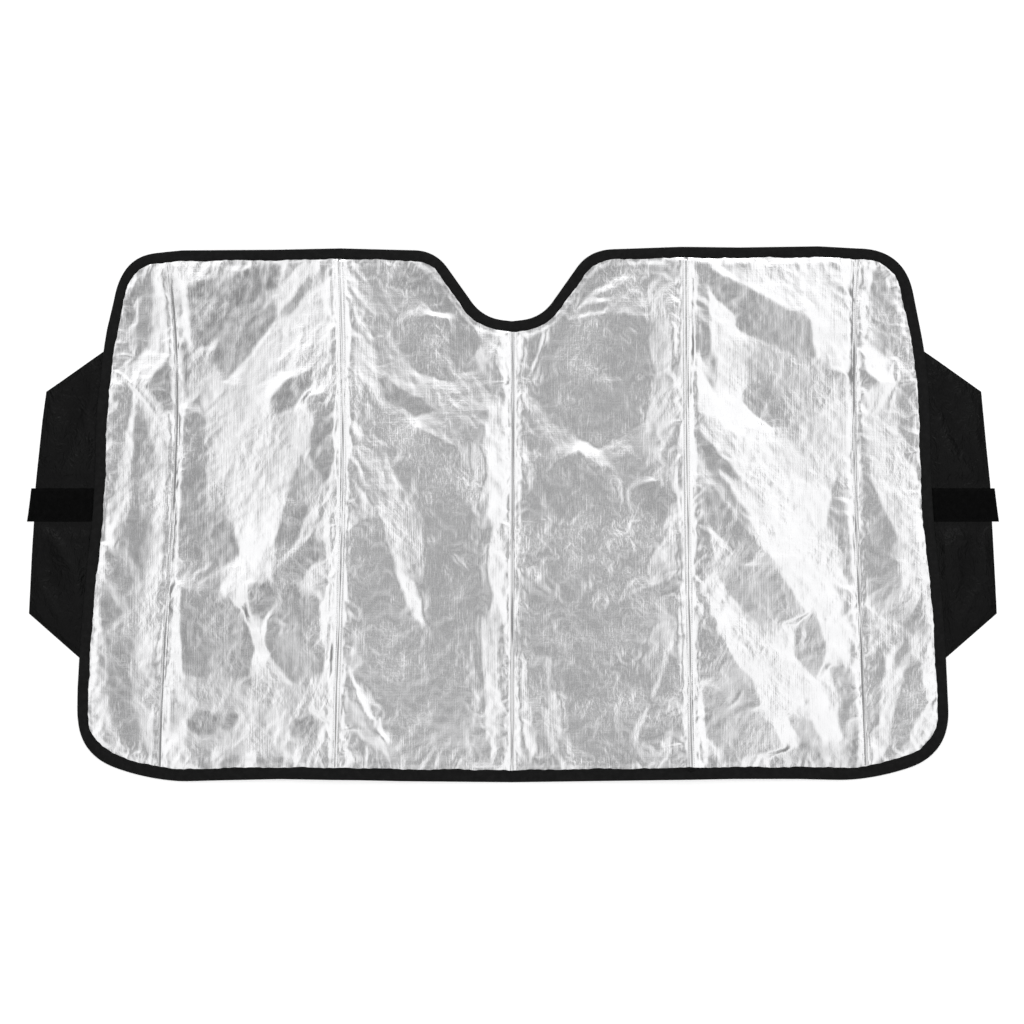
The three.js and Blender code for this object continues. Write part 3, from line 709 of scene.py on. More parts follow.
# spots where the film is crushed into small facets
crushed = [
    {"at": (152, -57), "size": (62, 26), "turn": 50, "strength": 1.3},
    {"at": (172, -212), "size": (52, 24), "turn": 50, "strength": 1.1},
    {"at": (-135, -140), "size": (34, 16), "turn": -75, "strength": 0.9},
    {"at": (-20, -330), "size": (70, 50), "turn": 90, "strength": 0.9},
    {"at": (-225, -330), "size": (50, 45), "turn": 90, "strength": 1.0},
    {"at": (225, -320), "size": (50, 60), "turn": 90, "strength": 1.1},
    {"at": (-385, -150), "size": (60, 26), "turn": 62, "strength": 0.8},
    {"at": (-290, -330), "size": (60, 40), "turn": 90, "strength": 0.8},
    {"at": (300, -330), "size": (40, 50), "turn": 90, "strength": 0.8},
    {"at": (500, -250), "size": (70, 30), "turn": 90, "strength": 0.8},
    {"at": (-320, 250), "size": (80, 30), "turn": 60, "strength": 0.7},
    {"at": (300, 300), "size": (60, 30), "turn": 80, "strength": 0.6},
]
# the way each section is pulled, in degrees
pulls = (82, 64, -66, -58, -52, 80)
# How the wanted slopes weigh against each other, how soft and ragged the facets' outlines are, how far
# crumples reach from seams, and how much painted shade darkens the grey facets, over how soft an edge.
facetRules = {"firm": 6.5, "loose": 1.8, "edge": 3.0, "ragged": 1.6, "margin": 14, "calm": 0.55, "limit": 14,
              "warp": 5.0, "near": 26, "heavy": 2.5, "away": -0.035,
              "facetShade": 0.25, "facetShadeEdge": 12}


# heights of the quilted sheet over its underside
quilt = {"seam": 2.0, "pad": 2.9, "run": 9, "rimRun": 10, "rowOffset": 3.3, "groove": 0.28, "crown": 1.0,
         "least": 1.1}


def shardSlopes(x, y, rule, turn, seed):
    # the tilt of the nearest of many scattered cells, measured in a space drawn out along the turn
    a = math.radians(turn)
    u = (x * math.cos(a) + y * math.sin(a)) / (rule["size"] * rule["drawn"])
    v = (y * math.cos(a) - x * math.sin(a)) / rule["size"]
    deal = np.random.default_rng(seed)
    cells = 128
    spots = deal.uniform(0.02, 0.98, (cells, cells, 2))
    tilts = deal.standard_normal((cells, cells, 2)) * (0.5, 1.0)
    column = np.floor(u).astype(int)
    line = np.floor(v).astype(int)
    best = np.full(x.shape, 1e9)
    tiltU = np.zeros(x.shape)
    tiltV = np.zeros(x.shape)
    for i in (-1, 0, 1):
        for j in (-1, 0, 1):
            cell = (column + i) % cells, (line + j) % cells
            off = (u - column - i - spots[cell][..., 0]) ** 2 + (v - line - j - spots[cell][..., 1]) ** 2
            near = off < best
            best = np.where(near, off, best)
            tiltU = np.where(near, tilts[cell][..., 0], tiltU)
            tiltV = np.where(near, tilts[cell][..., 1], tiltV)
    return math.cos(a) * tiltU - math.sin(a) * tiltV, math.sin(a) * tiltU + math.cos(a) * tiltV


def depthInside(corners, x, y):
    # how far inside a closed outline each point lies, below zero outside it
    nearest = np.full(x.shape, 1e9)
    inside = np.zeros(x.shape, bool)
    for a, b in zip(corners, np.roll(corners, -1, axis=0)):
        way = b - a
        share = np.clip(((x - a[0]) * way[0] + (y - a[1]) * way[1]) / (way @ way), 0, 1)
        nearest = np.minimum(nearest, np.hypot(x - a[0] - share * way[0], y - a[1] - share * way[1]))
        if a[1] != b[1]:
            inside ^= ((a[1] > y) != (b[1] > y)) & (x < a[0] + (y - a[1]) * way[0] / way[1])
    return np.where(inside, nearest, -nearest)


def slackSlopes():
    # how the film would like to lie at each point, how firmly, and the painted shade that darkens the grey
    # facets
    slopeX = np.zeros(gridX.shape)
    slopeY = np.zeros(gridX.shape)
    warpX = gridX + facetRules["warp"] * softNoise(16, 16, 0, 51)
    warpY = gridY + facetRules["warp"] * softNoise(16, 16, 0, 52)
    edge = np.clip(np.minimum(fromSeam, fromRim - shade["bindingWidth"]), 0, None)
    nearness = np.exp(-edge / facetRules["near"])
    patchy = 0.5 * ease(softNoise(90, 60, 40, 53) * 0.4 + 0.1)
    for spot in crushed:
        a = math.radians(spot["turn"])
        dx = gridX - spot["at"][0]
        dy = gridY - spot["at"][1]
        u = (dx * math.cos(a) + dy * math.sin(a)) / spot["size"][0]
        v = (dy * math.cos(a) - dx * math.sin(a)) / spot["size"][1]
        patchy = np.maximum(patchy, spot["strength"] * ease(1.5 - np.hypot(u, v)))
    past = shade["halfWidth"] + 45
    bounds = [-past] + [(s["bottom"] + s["top"]) / 2 for s in seams] + [past]
    section = sum((o > 0).astype(int) for o in seamOffsets)
    for k in range(len(pulls)):
        i0, i1 = np.searchsorted(mapX, (bounds[k] - 30, bounds[k + 1] + 30))
        part = (slice(None), slice(i0, i1))
        here = section[part] == k
        for rule in shards:
            tiltX, tiltY = shardSlopes(warpX[part], warpY[part], rule, pulls[k], rule["seed"] + 10 * k)
            rough = np.maximum(nearness, patchy)[part]
            strength = rule["slope"] * (rule["calm"] + (1 - rule["calm"]) * rough)
            slopeX[part] += np.where(here, tiltX * strength, 0)
            slopeY[part] += np.where(here, tiltY * strength, 0)
    baseX = np.gradient(baseLift, reliefMap["step"], axis=1)
    ragged = facetRules["ragged"] * (softNoise(30, 30, 0, 54) + 0.6 * softNoise(9, 9, 0, 55))
    height = 1000 * studio["cameraHeight"]
    faceX = gridX / height / 2
    faceY = gridY / height / 2
    broadX = faceX - baseX
    broadY = faceY.copy()
    firm = np.zeros(gridX.shape)
    facetShade = np.zeros(gridX.shape)
    for facet in brightFacets + greyFacets:
        bright = len(facet) % 2 == 0
        corners = np.array(facet[2 if bright else 1:], float).reshape(-1, 2)
        low = corners.min(0) - facetRules["margin"]
        high = corners.max(0) + facetRules["margin"]
        part = (slice(*np.searchsorted(mapY, (low[1], high[1]))),
                slice(*np.searchsorted(mapX, (low[0], high[0]))))
        depth = depthInside(corners, gridX[part], gridY[part]) + ragged[part]
        share = ease(depth / facetRules["edge"] + 0.5)
        if bright:
            turn = math.radians(facet[1])
            leanX, leanY = facet[0] * math.cos(turn), facet[0] * math.sin(turn)
        else:
            leanX = -studio["coreX"] / 2
            leanY = -(studio["coreY"] + (1 - facet[0]) * facetRules["away"]) / 2
        broadX[part] = blend(broadX[part], faceX[part] - baseX[part] + leanX, share)
        broadY[part] = blend(broadY[part], faceY[part] + leanY, share)
        firm[part] = blend(firm[part], 1.0 if bright else facetRules["heavy"], share)
        # painted shade: grey facets get a darker colour, softened at their edges
        soft = ease(depth / facetRules["facetShadeEdge"] + 0.5)
        facetShade[part] = blend(facetShade[part], 0.0 if bright else facetRules["facetShade"] * max(facet[0], 0), soft)
    still = 1 - facetRules["calm"] * np.minimum(firm, 1)
    slopeX = slopeX * still + broadX
    slopeY = slopeY * still + broadY
    facetShade *= 0.8 + 0.3 * np.clip(softNoise(12, 12, 0, 56), -1.5, 1.5)
    return slopeX, slopeY, facetRules["loose"] + facetRules["firm"] * firm, np.clip(facetShade, 0, 1)


def settle(wantX, wantY, weight, floor, free, step, height, rounds, gain):
    # the heights that come nearest to the wanted slopes, with the seams and the rim held down, and the
    # floor under the rest
    wantEast = (wantX[:, :-1] + wantX[:, 1:]) / 2 * step
    wantNorth = (wantY[:-1] + wantY[1:]) / 2 * step
    weightEast = (weight[:, :-1] + weight[:, 1:]) / 2
    weightNorth = (weight[:-1] + weight[1:]) / 2
    east = np.pad(weightEast, ((0, 0), (0, 1)))
    west = np.pad(weightEast, ((0, 0), (1, 0)))
    north = np.pad(weightNorth, ((0, 1), (0, 0)))
    south = np.pad(weightNorth, ((1, 0), (0, 0)))
    pushEast = wantEast * weightEast
    pushNorth = wantNorth * weightNorth
    pull = np.pad(pushEast, ((0, 0), (1, 0))) - np.pad(pushEast, ((0, 0), (0, 1)))
    pull += np.pad(pushNorth, ((1, 0), (0, 0))) - np.pad(pushNorth, ((0, 1), (0, 0)))
    total = east + west + north + south
    checks = (np.add.outer(np.arange(height.shape[0]), np.arange(height.shape[1])) % 2).astype(bool)
    turns = (checks & free, ~checks & free)
    for _ in range(rounds):
        for turn in turns:
            around = east * np.roll(height, -1, 1) + west * np.roll(height, 1, 1)
            around += north * np.roll(height, -1, 0) + south * np.roll(height, 1, 0)
            height = np.maximum(height + gain * ((around + pull) / total - height) * turn, floor)
    return height


def settleFacets(wantX, wantY, weight):
    free = np.minimum(fromRim - shade["bindingWidth"], fromSeam) > 0
    floor = np.minimum(quilt["least"] - quilt["pad"] - baseLift, 0)
    height = None
    for skip, rounds, gain in ((8, 160, 1.88), (4, 140, 1.9), (2, 110, 1.88), (1, 60, 1.7)):
        part = (slice(None, None, skip), slice(None, None, skip))
        fields = []
        for field in (wantX, wantY, weight, floor):
            for _ in range(skip // 2):
                field = (field + np.roll(field, 1, 0) + np.roll(field, 1, 1) + np.roll(field, -1, 0)
                         + np.roll(field, -1, 1)) / 5
            fields.append(field[part])
        shape = fields[0].shape
        if height is None:
            height = np.zeros(shape)
        else:
            height = sampleMap(height, np.arange(shape[1])[None, :] / 2 + np.zeros(shape),
                               np.arange(shape[0])[:, None] / 2 + np.zeros(shape))
            height = height * free[part]
        height = settle(*fields, free[part], reliefMap["step"] * skip, height, rounds, gain)
    limit = facetRules["limit"]
    return limit * np.tanh(height / limit)


def sampleMap(field, column, line):
    # value between the points of a map
    i = np.clip(np.floor(column).astype(int), 0, field.shape[1] - 2)
    j = np.clip(np.floor(line).astype(int), 0, field.shape[0] - 2)
    u = column - i
    v = line - j
    low = blend(field[j, i], field[j, i + 1], u)
    high = blend(field[j + 1, i], field[j + 1, i + 1], u)
    return blend(low, high, v)


def addCrease(field, start, end, width, height, taper="both", bend=0.0, sharp=1.4):
    # a thin ridge (or valley, where height is below zero) pressed into a field
    start = np.array(start, float)
    end = np.array(end, float)
    length = np.linalg.norm(end - start)
    way = (end - start) / length
    pad = width * 3.2 + abs(bend)
    low = np.minimum(start, end) - pad
    high = np.maximum(start, end) + pad
    i0, i1 = np.searchsorted(mapX, (low[0], high[0]))
    j0, j1 = np.searchsorted(mapY, (low[1], high[1]))
    if i1 - i0 < 2 or j1 - j0 < 2:
        return
    dx = gridX[j0:j1, i0:i1] - start[0]
    dy = gridY[j0:j1, i0:i1] - start[1]
    u = (dx * way[0] + dy * way[1]) / length
    inside = np.clip(u, 0, 1)
    v = dy * way[0] - dx * way[1] - bend * 4 * inside * (1 - inside)
    past = np.maximum(np.abs(u - inside) * length, 0)
    off = np.hypot(v, past)
    if taper == "both":
        body = np.sin(math.pi * np.clip(inside, 0.02, 0.98)) ** 0.7
        spread = width * (0.6 + 0.4 * body)
    else:
        body = (1 - inside) ** 0.8 * ease(inside * 9 + 0.3)
        spread = width * (0.55 + 0.65 * inside)
    field[j0:j1, i0:i1] += height * body * np.exp(-(off / spread) ** sharp)


creaseRules = {
    "seamPitch": 11,
    "seamLength": (10, 46),
    "seamHeight": (0.25, 0.8),
    "rimPitch": 9,
    "rimLength": (9, 44),
    "rimHeight": (0.25, 0.95),
    "loose": 2200,
    "looseLength": (8, 34),
    "looseHeight": (0.08, 0.36),
}

# places where creases meet in a star: centre, how many, how long
stars = [
    {"at": (-567, 192), "arms": 9, "length": 62, "height": 1.3, "seed": 3},
    {"at": (-567, 236), "arms": 5, "length": 40, "height": 0.9, "seed": 4},
    {"at": (-523, -258), "arms": 12, "length": 44, "height": 1.2, "seed": 5},
    {"at": (576, 238), "arms": 7, "length": 44, "height": 1.1, "seed": 6},
    {"at": (576, 197), "arms": 8, "length": 58, "height": 1.2, "seed": 7},
    {"at": (522, 193), "arms": 6, "length": 40, "height": 0.9, "seed": 8},
    {"at": (-3, 198), "arms": 8, "length": 42, "height": 1.0, "seed": 9},
    {"at": (252, -80), "arms": 7, "length": 46, "height": 1.0, "seed": 10},
    {"at": (-272, -100), "arms": 8, "length": 52, "height": 1.1, "seed": 11},
    {"at": (520, -130), "arms": 8, "length": 46, "height": 1.1, "seed": 12},
    {"at": (258, -345), "arms": 7, "length": 50, "height": 1.1, "seed": 13},
    {"at": (-256, -322), "arms": 7, "length": 46, "height": 1.0, "seed": 14},
]

# single creases that the photograph shows clearly: ends, width and height
longCreases = [
    {"from": (-602, 237), "to": (-562, 235), "width": 2.4, "height": 0.8},
    {"from": (-567, 195), "to": (-568, 232), "width": 2.2, "height": -0.35},
    {"from": (574, 200), "to": (575, 234), "width": 2.2, "height": -0.3},
    {"from": (-250, -225), "to": (-230, -282), "width": 2.2, "height": 0.5},
    {"from": (-242, 100), "to": (-212, 30), "width": 2.4, "height": -0.4},
    {"from": (56, 290), "to": (18, 188), "width": 2.4, "height": 0.6},
    {"from": (-92, -58), "to": (-82, -72), "width": 2.2, "height": 0.5},
    {"from": (345, -262), "to": (322, -290), "width": 2.4, "height": 0.5},
]


def creaseFilm():
    field = np.zeros(gridX.shape)
    half = shade["bindingWidth"]
    # puckers that fan out from the stitching of each fold
    for seam in seams:
        for side in (-1, 1):
            y = shade["bottom"] + half
            while y < shade["top"] - half:
                y += dice.uniform(0.6, 1.5) * creaseRules["seamPitch"]
                start = (seamX(seam, upShare(y)) + side * seam["strip"] * 0.8, y)
                lean = dice.choice([-1, 1]) * dice.uniform(0.15, 1.25)
                length = dice.uniform(*creaseRules["seamLength"]) * dice.uniform(0.5, 1)
                end = (start[0] + side * length * math.cos(lean), y + length * math.sin(lean))
                height = dice.uniform(*creaseRules["seamHeight"]) * dice.choice([-0.6, 1, 1])
                addCrease(field, start, end, dice.uniform(2.6, 4.6), height, "start", dice.uniform(-2, 2))
    # puckers along the binding
    place = 0.0
    while place < rimCount - 1:
        place += dice.uniform(0.5, 1.6) * creaseRules["rimPitch"] / rimStep
        if place >= rimCount - 1:
            break
        for side in (-1, 1):
            a = rimPoint(place + dice.uniform(-3, 3), half - 1)
            low = a[1] < -300
            length = dice.uniform(*creaseRules["rimLength"]) * (1.0 if low else 0.75)
            k = int(np.clip(place, 0, rimCount - 1))
            lean = dice.uniform(-0.6, 0.6)
            way = inward[k] * math.cos(lean) + along[k] * math.sin(lean)
            b = a + way * length
            height = dice.uniform(*creaseRules["rimHeight"]) * dice.choice([-0.6, 1, 1])
            addCrease(field, (side * a[0], a[1]), (side * b[0], b[1]), dice.uniform(2.6, 4.8),
                      height, "start", dice.uniform(-2, 2))
    # loose creases, most of them along the way in which each section was pulled
    knots = [-640] + [s["bottom"] for s in seams] + [640]
    rough = softNoise(60, 60, 0, 23)
    for _ in range(creaseRules["loose"]):
        x = dice.uniform(-640, 640)
        y = dice.uniform(-390, 390)
        section = min(int(np.searchsorted(knots, x)) - 1, 5)
        section = max(section, 0)
        spot = rough[min(int((y + reliefMap["reachY"]) / 2), gridX.shape[0] - 1),
                     min(int((x + reliefMap["reachX"]) / 2), gridX.shape[1] - 1)]
        if spot < dice.uniform(-1.2, 1.0):
            continue
        turn = math.radians(pulls[section] + dice.normal(0, 16))
        if dice.uniform() < 0.22:
            turn += math.pi / 2
        length = dice.uniform(*creaseRules["looseLength"])
        start = (x - length / 2 * math.cos(turn), y - length / 2 * math.sin(turn))
        end = (x + length / 2 * math.cos(turn), y + length / 2 * math.sin(turn))
        height = dice.uniform(*creaseRules["looseHeight"]) * dice.choice([-1, 1])
        addCrease(field, start, end, dice.uniform(1.8, 3.6), height, "both", dice.uniform(-3, 3), 1.2)
    for star in stars:
        deal = np.random.default_rng(star["seed"])
        first = deal.uniform(0, 2 * math.pi)
        for k in range(star["arms"]):
            turn = first + (k + deal.uniform(-0.3, 0.3)) * 2 * math.pi / star["arms"]
            length = star["length"] * deal.uniform(0.55, 1.1)
            start = np.array(star["at"]) + 2.5 * np.array((math.cos(turn), math.sin(turn)))
            end = start + length * np.array((math.cos(turn), math.sin(turn)))
            height = star["height"] * deal.uniform(0.3, 0.75) * (1 if k % 2 else -0.5)
            addCrease(field, start, end, deal.uniform(2.6, 3.8), height, "start", deal.uniform(-3, 3))
    for crease in longCreases:
        addCrease(field, crease["from"], crease["to"], crease["width"], crease["height"], "both", 3.0)
    return field


def uneven(y, length, seed):
    # a wandering share between 0 and 1 along a fold
    deal = np.random.default_rng(seed)
    knots = np.arange(shade["bottom"] - length, shade["top"] + length, length)
    return np.interp(y, knots, deal.uniform(0, 1, len(knots)))


def quiltHeight(slopes):
    fromBinding = fromRim - shade["bindingWidth"]
    full = ease(fromSeam / quilt["run"]) * ease(fromBinding / quilt["rimRun"])
    edge = blend(rimTop, quilt["seam"], ease(fromBinding / 10))
    height = blend(edge, quilt["pad"], full)
    height += quilt["crown"] * ease(fromSeam / 120) * ease(fromBinding / 120)
    height += settleFacets(*slopes) * ease(fromSeam / 4 + 0.2) * ease(fromBinding / 4 + 0.2)
    height += creaseFilm() * ease(fromSeam / 3 + 0.5) * ease(fromBinding / 4 + 0.4)
    # where the film would sink through the floor it rests on it
    low = baseLift + height - quilt["least"]
    rested = quilt["least"] + np.where(low > 6, low, np.log1p(np.exp(np.minimum(low, 6) * 1.6)) / 1.6)
    return np.where(fromBinding < 0, rimTop, rested - baseLift)


def foldShape(x, y):
    # height of the folds' profile at any point, and the painted shade that darkens the colour by how deep in
    # a crease it lies
    share = upShare(y)
    inside = ease((onMap(fromRim, x, y) - shade["bindingWidth"]) / 3)
    height = np.zeros(x.shape)
    dark = np.zeros(x.shape)
    for k, seam in enumerate(seams):
        offset = x - seamX(seam, share)
        off = offset - 1.6 * (uneven(y, 70, 61 + k) - 0.5)
        reach = np.where(off < 0, uneven(y, 75, 91 + k), uneven(y, 65, 101 + k))
        reach = (seam["strip"] + 6) * (0.6 + 0.7 * reach)
        roof = np.clip(1 - np.abs(off) / reach, 0, 1) * (0.7 + 0.5 * uneven(y, 60, 71 + k))
        rows = np.exp(-((np.abs(offset) - quilt["rowOffset"]) / 0.9) ** 2)
        deep = np.exp(-(np.abs(off) / seam["slit"]) ** 1.6)
        deep = deep * np.clip(1.5 * uneven(y, 48, 81 + k) - 0.1, 0.12, 1)
        height += (seam["roof"] * roof - quilt["groove"] * rows - seam["crease"] * deep) * inside
        # painted shade, darkest along the middle of each crease
        dark = np.maximum(dark, seam["shade"] * deep * inside)
    return height, dark


# The film is a little too large for its held seams and edge, and buckles for some frames. Its net takes
# every few points of the map. share and most scale and limit what is added to the relief.
slack = {"skip": 4, "frames": 16, "swell": 0.0015, "bend": 0.3, "weight": 0.02, "gravity": 0.0, "share": 0.35,
         "most": 2.0}


def clothRun(name, points, faces, held, rules):
    # the points after a cloth run with some of them held
    mesh = bpy.data.meshes.new(name)
    mesh.from_pydata((points * mm).tolist(), [], faces)
    piece = bpy.data.objects.new(name, mesh)
    scene.collection.objects.link(piece)
    group = piece.vertex_groups.new(name="held")
    group.add(np.flatnonzero(held).tolist(), 1.0, "REPLACE")
    modifier = piece.modifiers.new("slack", "CLOTH")
    cloth = modifier.settings
    cloth.vertex_group_mass = "held"
    cloth.quality = 6
    cloth.mass = rules["weight"]
    cloth.shrink_min = -rules["swell"]
    cloth.bending_stiffness = rules["bend"]
    cloth.effector_weights.gravity = rules["gravity"]
    modifier.collision_settings.use_collision = False
    modifier.point_cache.frame_start = 1
    modifier.point_cache.frame_end = rules["frames"]
    for frame in range(1, rules["frames"] + 1):
        scene.frame_set(frame)
    ready = piece.evaluated_get(bpy.context.evaluated_depsgraph_get())
    moved = np.empty(len(points) * 3)
    ready.data.vertices.foreach_get("co", moved)
    scene.frame_set(1)
    bpy.data.objects.remove(piece)
    bpy.data.meshes.remove(mesh)
    return moved.reshape(-1, 3) / mm


def buckleFilm(relief):
    # lets the film buckle between its seams and adds that to the relief
    skip = slack["skip"]
    part = (slice(None, None, skip), slice(None, None, skip))
    x, y, z = gridX[part], gridY[part], (baseLift + relief)[part]
    lines, columns = x.shape
    held = np.minimum(fromRim - shade["bindingWidth"], fromSeam)[part] < 0
    points = np.dstack([x, y, z]).transpose(1, 0, 2).reshape(-1, 3)
    moved = clothRun("loose_film", points, gridFaces(columns, lines), held.T.ravel(), slack)
    rise = (moved - points)[:, 2].reshape(columns, lines).T
    rise = slack["most"] * np.tanh(slack["share"] * rise / slack["most"])
    print("film buckled:", round(float(rise.min()), 2), "to", round(float(rise.max()), 2), "mm")
    spot = gridX * 0 + np.arange(gridX.shape[1]) / skip, gridY * 0 + np.arange(gridX.shape[0])[:, None] / skip
    smooth = sampleMap(rise, *spot)
    for _ in range(skip):
        smooth[1:-1, 1:-1] = (smooth[1:-1, 1:-1] * 2 + smooth[:-2, 1:-1] + smooth[2:, 1:-1]
                              + smooth[1:-1, :-2] + smooth[1:-1, 2:]) / 6
    buckled = np.maximum(relief + smooth, quilt["least"] - baseLift)
    return np.where(fromRim < shade["bindingWidth"], relief, buckled)


*slopes, paintedFacetShade = slackSlopes()
reliefHeight = quiltHeight(slopes)
reliefHeight = buckleFilm(reliefHeight)
print("relief pressed:", round(float(reliefHeight.max()), 1), "mm at most")


# the sheet's lattice, whose columns run along the fold lines
lattice = {"rows": 384, "section": 132, "flap": 60, "strip": 11, "stripCells": 11, "backSkip": 4,
           "edgeInset": 1.3}


def sectionShares(cells, leftStrip, rightStrip, span):
    # close columns in the strip at each fold, even ones between
    left = lattice["stripCells"]
    right = lattice["stripCells"] if rightStrip else 0
    low = leftStrip / span
    high = 1 - rightStrip / span
    close = np.linspace(0, 1, lattice["stripCells"] + 1) ** 1.4
    shares = list(low * close[:-1])
    shares += list(np.linspace(low, high, cells - left - right + 1))
    if right:
        shares += list(1 - (1 - high) * close[::-1][1:])
    return np.array(shares)


def halfPlan(side):
    # plan of the half on this side, from the middle fold out, as columns of points
    inset = lattice["edgeInset"]
    order = [seams[2], seams[3], seams[4]] if side > 0 else [seams[2], seams[1], seams[0]]
    t = np.linspace(0, 1, lattice["rows"] + 1)
    plan = []
    for k in range(3):
        foldIn = order[k]
        foldOut = order[k + 1] if k < 2 else None
        xIn = abs(foldIn["bottom"]), abs(foldIn["top"])
        if foldOut:
            xOut = abs(foldOut["bottom"]), abs(foldOut["top"])
            shares = sectionShares(lattice["section"], lattice["strip"], lattice["strip"], xOut[0] - xIn[0])
            lowPlaces = lowPlace(blend(xIn[0], xOut[0], shares))
            highPlaces = highPlace(blend(xIn[1], xOut[1], shares))
        else:
            shares = sectionShares(lattice["flap"], lattice["strip"], 0, shade["halfWidth"] - xIn[0])
            lowPlaces = blend(lowPlace(xIn[0]), cornerLow, shares)
            highPlaces = blend(highPlace(xIn[1]), cornerHigh, shares)
        low = rimPoint(lowPlaces, inset)
        high = rimPoint(highPlaces, inset)
        left = foldCurve(foldIn, low[0], high[0], side, t)
        if foldOut:
            right = foldCurve(foldOut, low[-1], high[-1], side, t)
        else:
            right = rimPoint(blend(cornerLow, cornerHigh, t), inset)
        s = shares[:, None, None]
        u = t[None, :, None]
        ruled = blend(low[:, None], high[:, None], u) + blend(left[None], right[None], s)
        flat = blend(blend(low[0], low[-1], s), blend(high[0], high[-1], s), u)
        part = ruled - flat
        plan += list(part if k == 2 else part[:-1])
    plan = np.array(plan)
    plan[:, :, 0] *= side
    return plan


def foldCurve(seam, low, high, side, t):
    line = blend(low[None], high[None], t[:, None])
    straight = blend(seam["bottom"], seam["top"], t)
    line[:, 0] += (seamX(seam, t) - straight) * side
    return line


def sheetPlan():
    right = halfPlan(1)
    left = halfPlan(-1)
    return np.concatenate([left[::-1], right[1:]])


def onMap(field, x, y):
    return sampleMap(field, (x - mapX[0]) / reliefMap["step"], (y - mapY[0]) / reliefMap["step"])


def sheetTop(x, y):
    # height of the foil face at any point, and the painted shade for how deep it lies in a crease of the
    # folds
    fold, dark = foldShape(x, y)
    return np.maximum(liftAt(x, y) + onMap(reliefHeight, x, y) + fold, quilt["least"]), dark


def borderOrder(columns, lines, skip=1):
    # grid places round the edge, anticlockwise from the bottom left
    ring = [(i, 0) for i in range(0, columns, skip)]
    ring += [(columns - 1, j) for j in range(skip, lines, skip)]
    ring += [(i, lines - 1) for i in range(columns - 1 - skip, -1, -skip)]
    ring += [(0, j) for j in range(lines - 1 - skip, 0, -skip)]
    return ring


def lowestNear(field, skip):
    # the lowest point round each kept one
    low = field.copy()
    for _ in range(skip):
        wide = np.pad(low, 1, mode="edge")
        low = np.minimum.reduce([wide[1:-1, 1:-1], wide[:-2, 1:-1], wide[2:, 1:-1], wide[1:-1, :-2],
                                 wide[1:-1, 2:]])
    return low[::skip, ::skip]


def makePanel():
    plan = sheetPlan()
    columns, lines = plan.shape[:2]
    x = plan[..., 0]
    y = plan[..., 1]
    lift = liftAt(x, y)
    top, dark = sheetTop(x, y)
    front = np.dstack([x, y, top])
    skip = lattice["backSkip"]
    backX = x[::skip, ::skip]
    backY = y[::skip, ::skip]
    inside = ease((onMap(fromRim, backX, backY) - shade["bindingWidth"]) / 8)
    rimLow = shade["tapeWall"] + shade["clearance"]
    backTop = lowestNear(front[..., 2], skip)
    backLow = np.minimum(lift[::skip, ::skip] + 0.12, backTop - 0.7)
    back = np.dstack([backX, backY, np.maximum(0.05, blend(lift[::skip, ::skip] + rimLow, backLow, inside))])
    backColumns, backLines = back.shape[:2]
    points = np.concatenate([front.reshape(-1, 3), back.reshape(-1, 3)])
    faces = gridFaces(columns, lines)
    start = columns * lines
    faces += gridFaces(backColumns, backLines, start, flip=True)
    ring = borderOrder(columns, lines)
    coarse = borderOrder(backColumns, backLines)
    for k, (i, j) in enumerate(coarse):
        ni, nj = coarse[(k + 1) % len(coarse)]
        span = [ring[(k * skip + n) % len(ring)] for n in range(skip, -1, -1)]
        face = [start + i * backLines + j, start + ni * backLines + nj]
        face += [a * lines + b for a, b in span]
        faces.append(tuple(face))
    panel = newMesh("foil_sheet", points, faces, foil)
    # painted shade of the creases and grey facets, stored for the foil's colour
    store = panel.data.attributes.new("painted_shade", "FLOAT", "POINT")
    dark = np.maximum(dark, onMap(paintedFacetShade, x, y))
    store.data.foreach_set("value", np.r_[dark.ravel(), np.zeros(backX.size)].astype(np.float32))
    print("foil sheet:", columns, "x", lines, "points,", len(faces), "faces")
    return panel


panel = makePanel()
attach(panel, "root")
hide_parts("foil_panel")


# binding: one tape folded over the edge, swept round the rim with slight pulls at the stitches
binding = {"stations": 960, "jitter": 0.4, "wander": 0.8, "swell": 0.25, "crown": 0.35, "wideBelow": 2.3,
           "seed": 41}


def ripple(count, waves, seed):
    # closed wavy line from a few sines, about unit size
    deal = np.random.default_rng(seed)
    turn = np.linspace(0, 2 * math.pi, count, endpoint=False)
    total = np.zeros(count)
    for n in waves:
        total += np.sin(n * turn + deal.uniform(0, 6.28)) * deal.uniform(0.6, 1.2)
    return total / math.sqrt(len(waves))


def fullRim(count):
    # stations round the whole rim with the way inwards and the run, anticlockwise
    places = np.linspace(0, rimCount - 1, count // 2 + 1)
    right = rimPoint(places, 0)
    rightIn = rimPoint(places, 1) - right
    left = right[::-1][1:-1] * (-1, 1)
    leftIn = rightIn[::-1][1:-1] * (-1, 1)
    points = np.concatenate([right, left])
    ways = np.concatenate([rightIn, leftIn])
    run = np.r_[0, np.cumsum(np.linalg.norm(np.diff(points, axis=0), axis=1))]
    return points, ways, run


def widerBelow(ways):
    # along the bottom edge the tape reaches further over the foil
    return binding["wideBelow"] * ease(ways[:, 1] * 2 - 0.5)


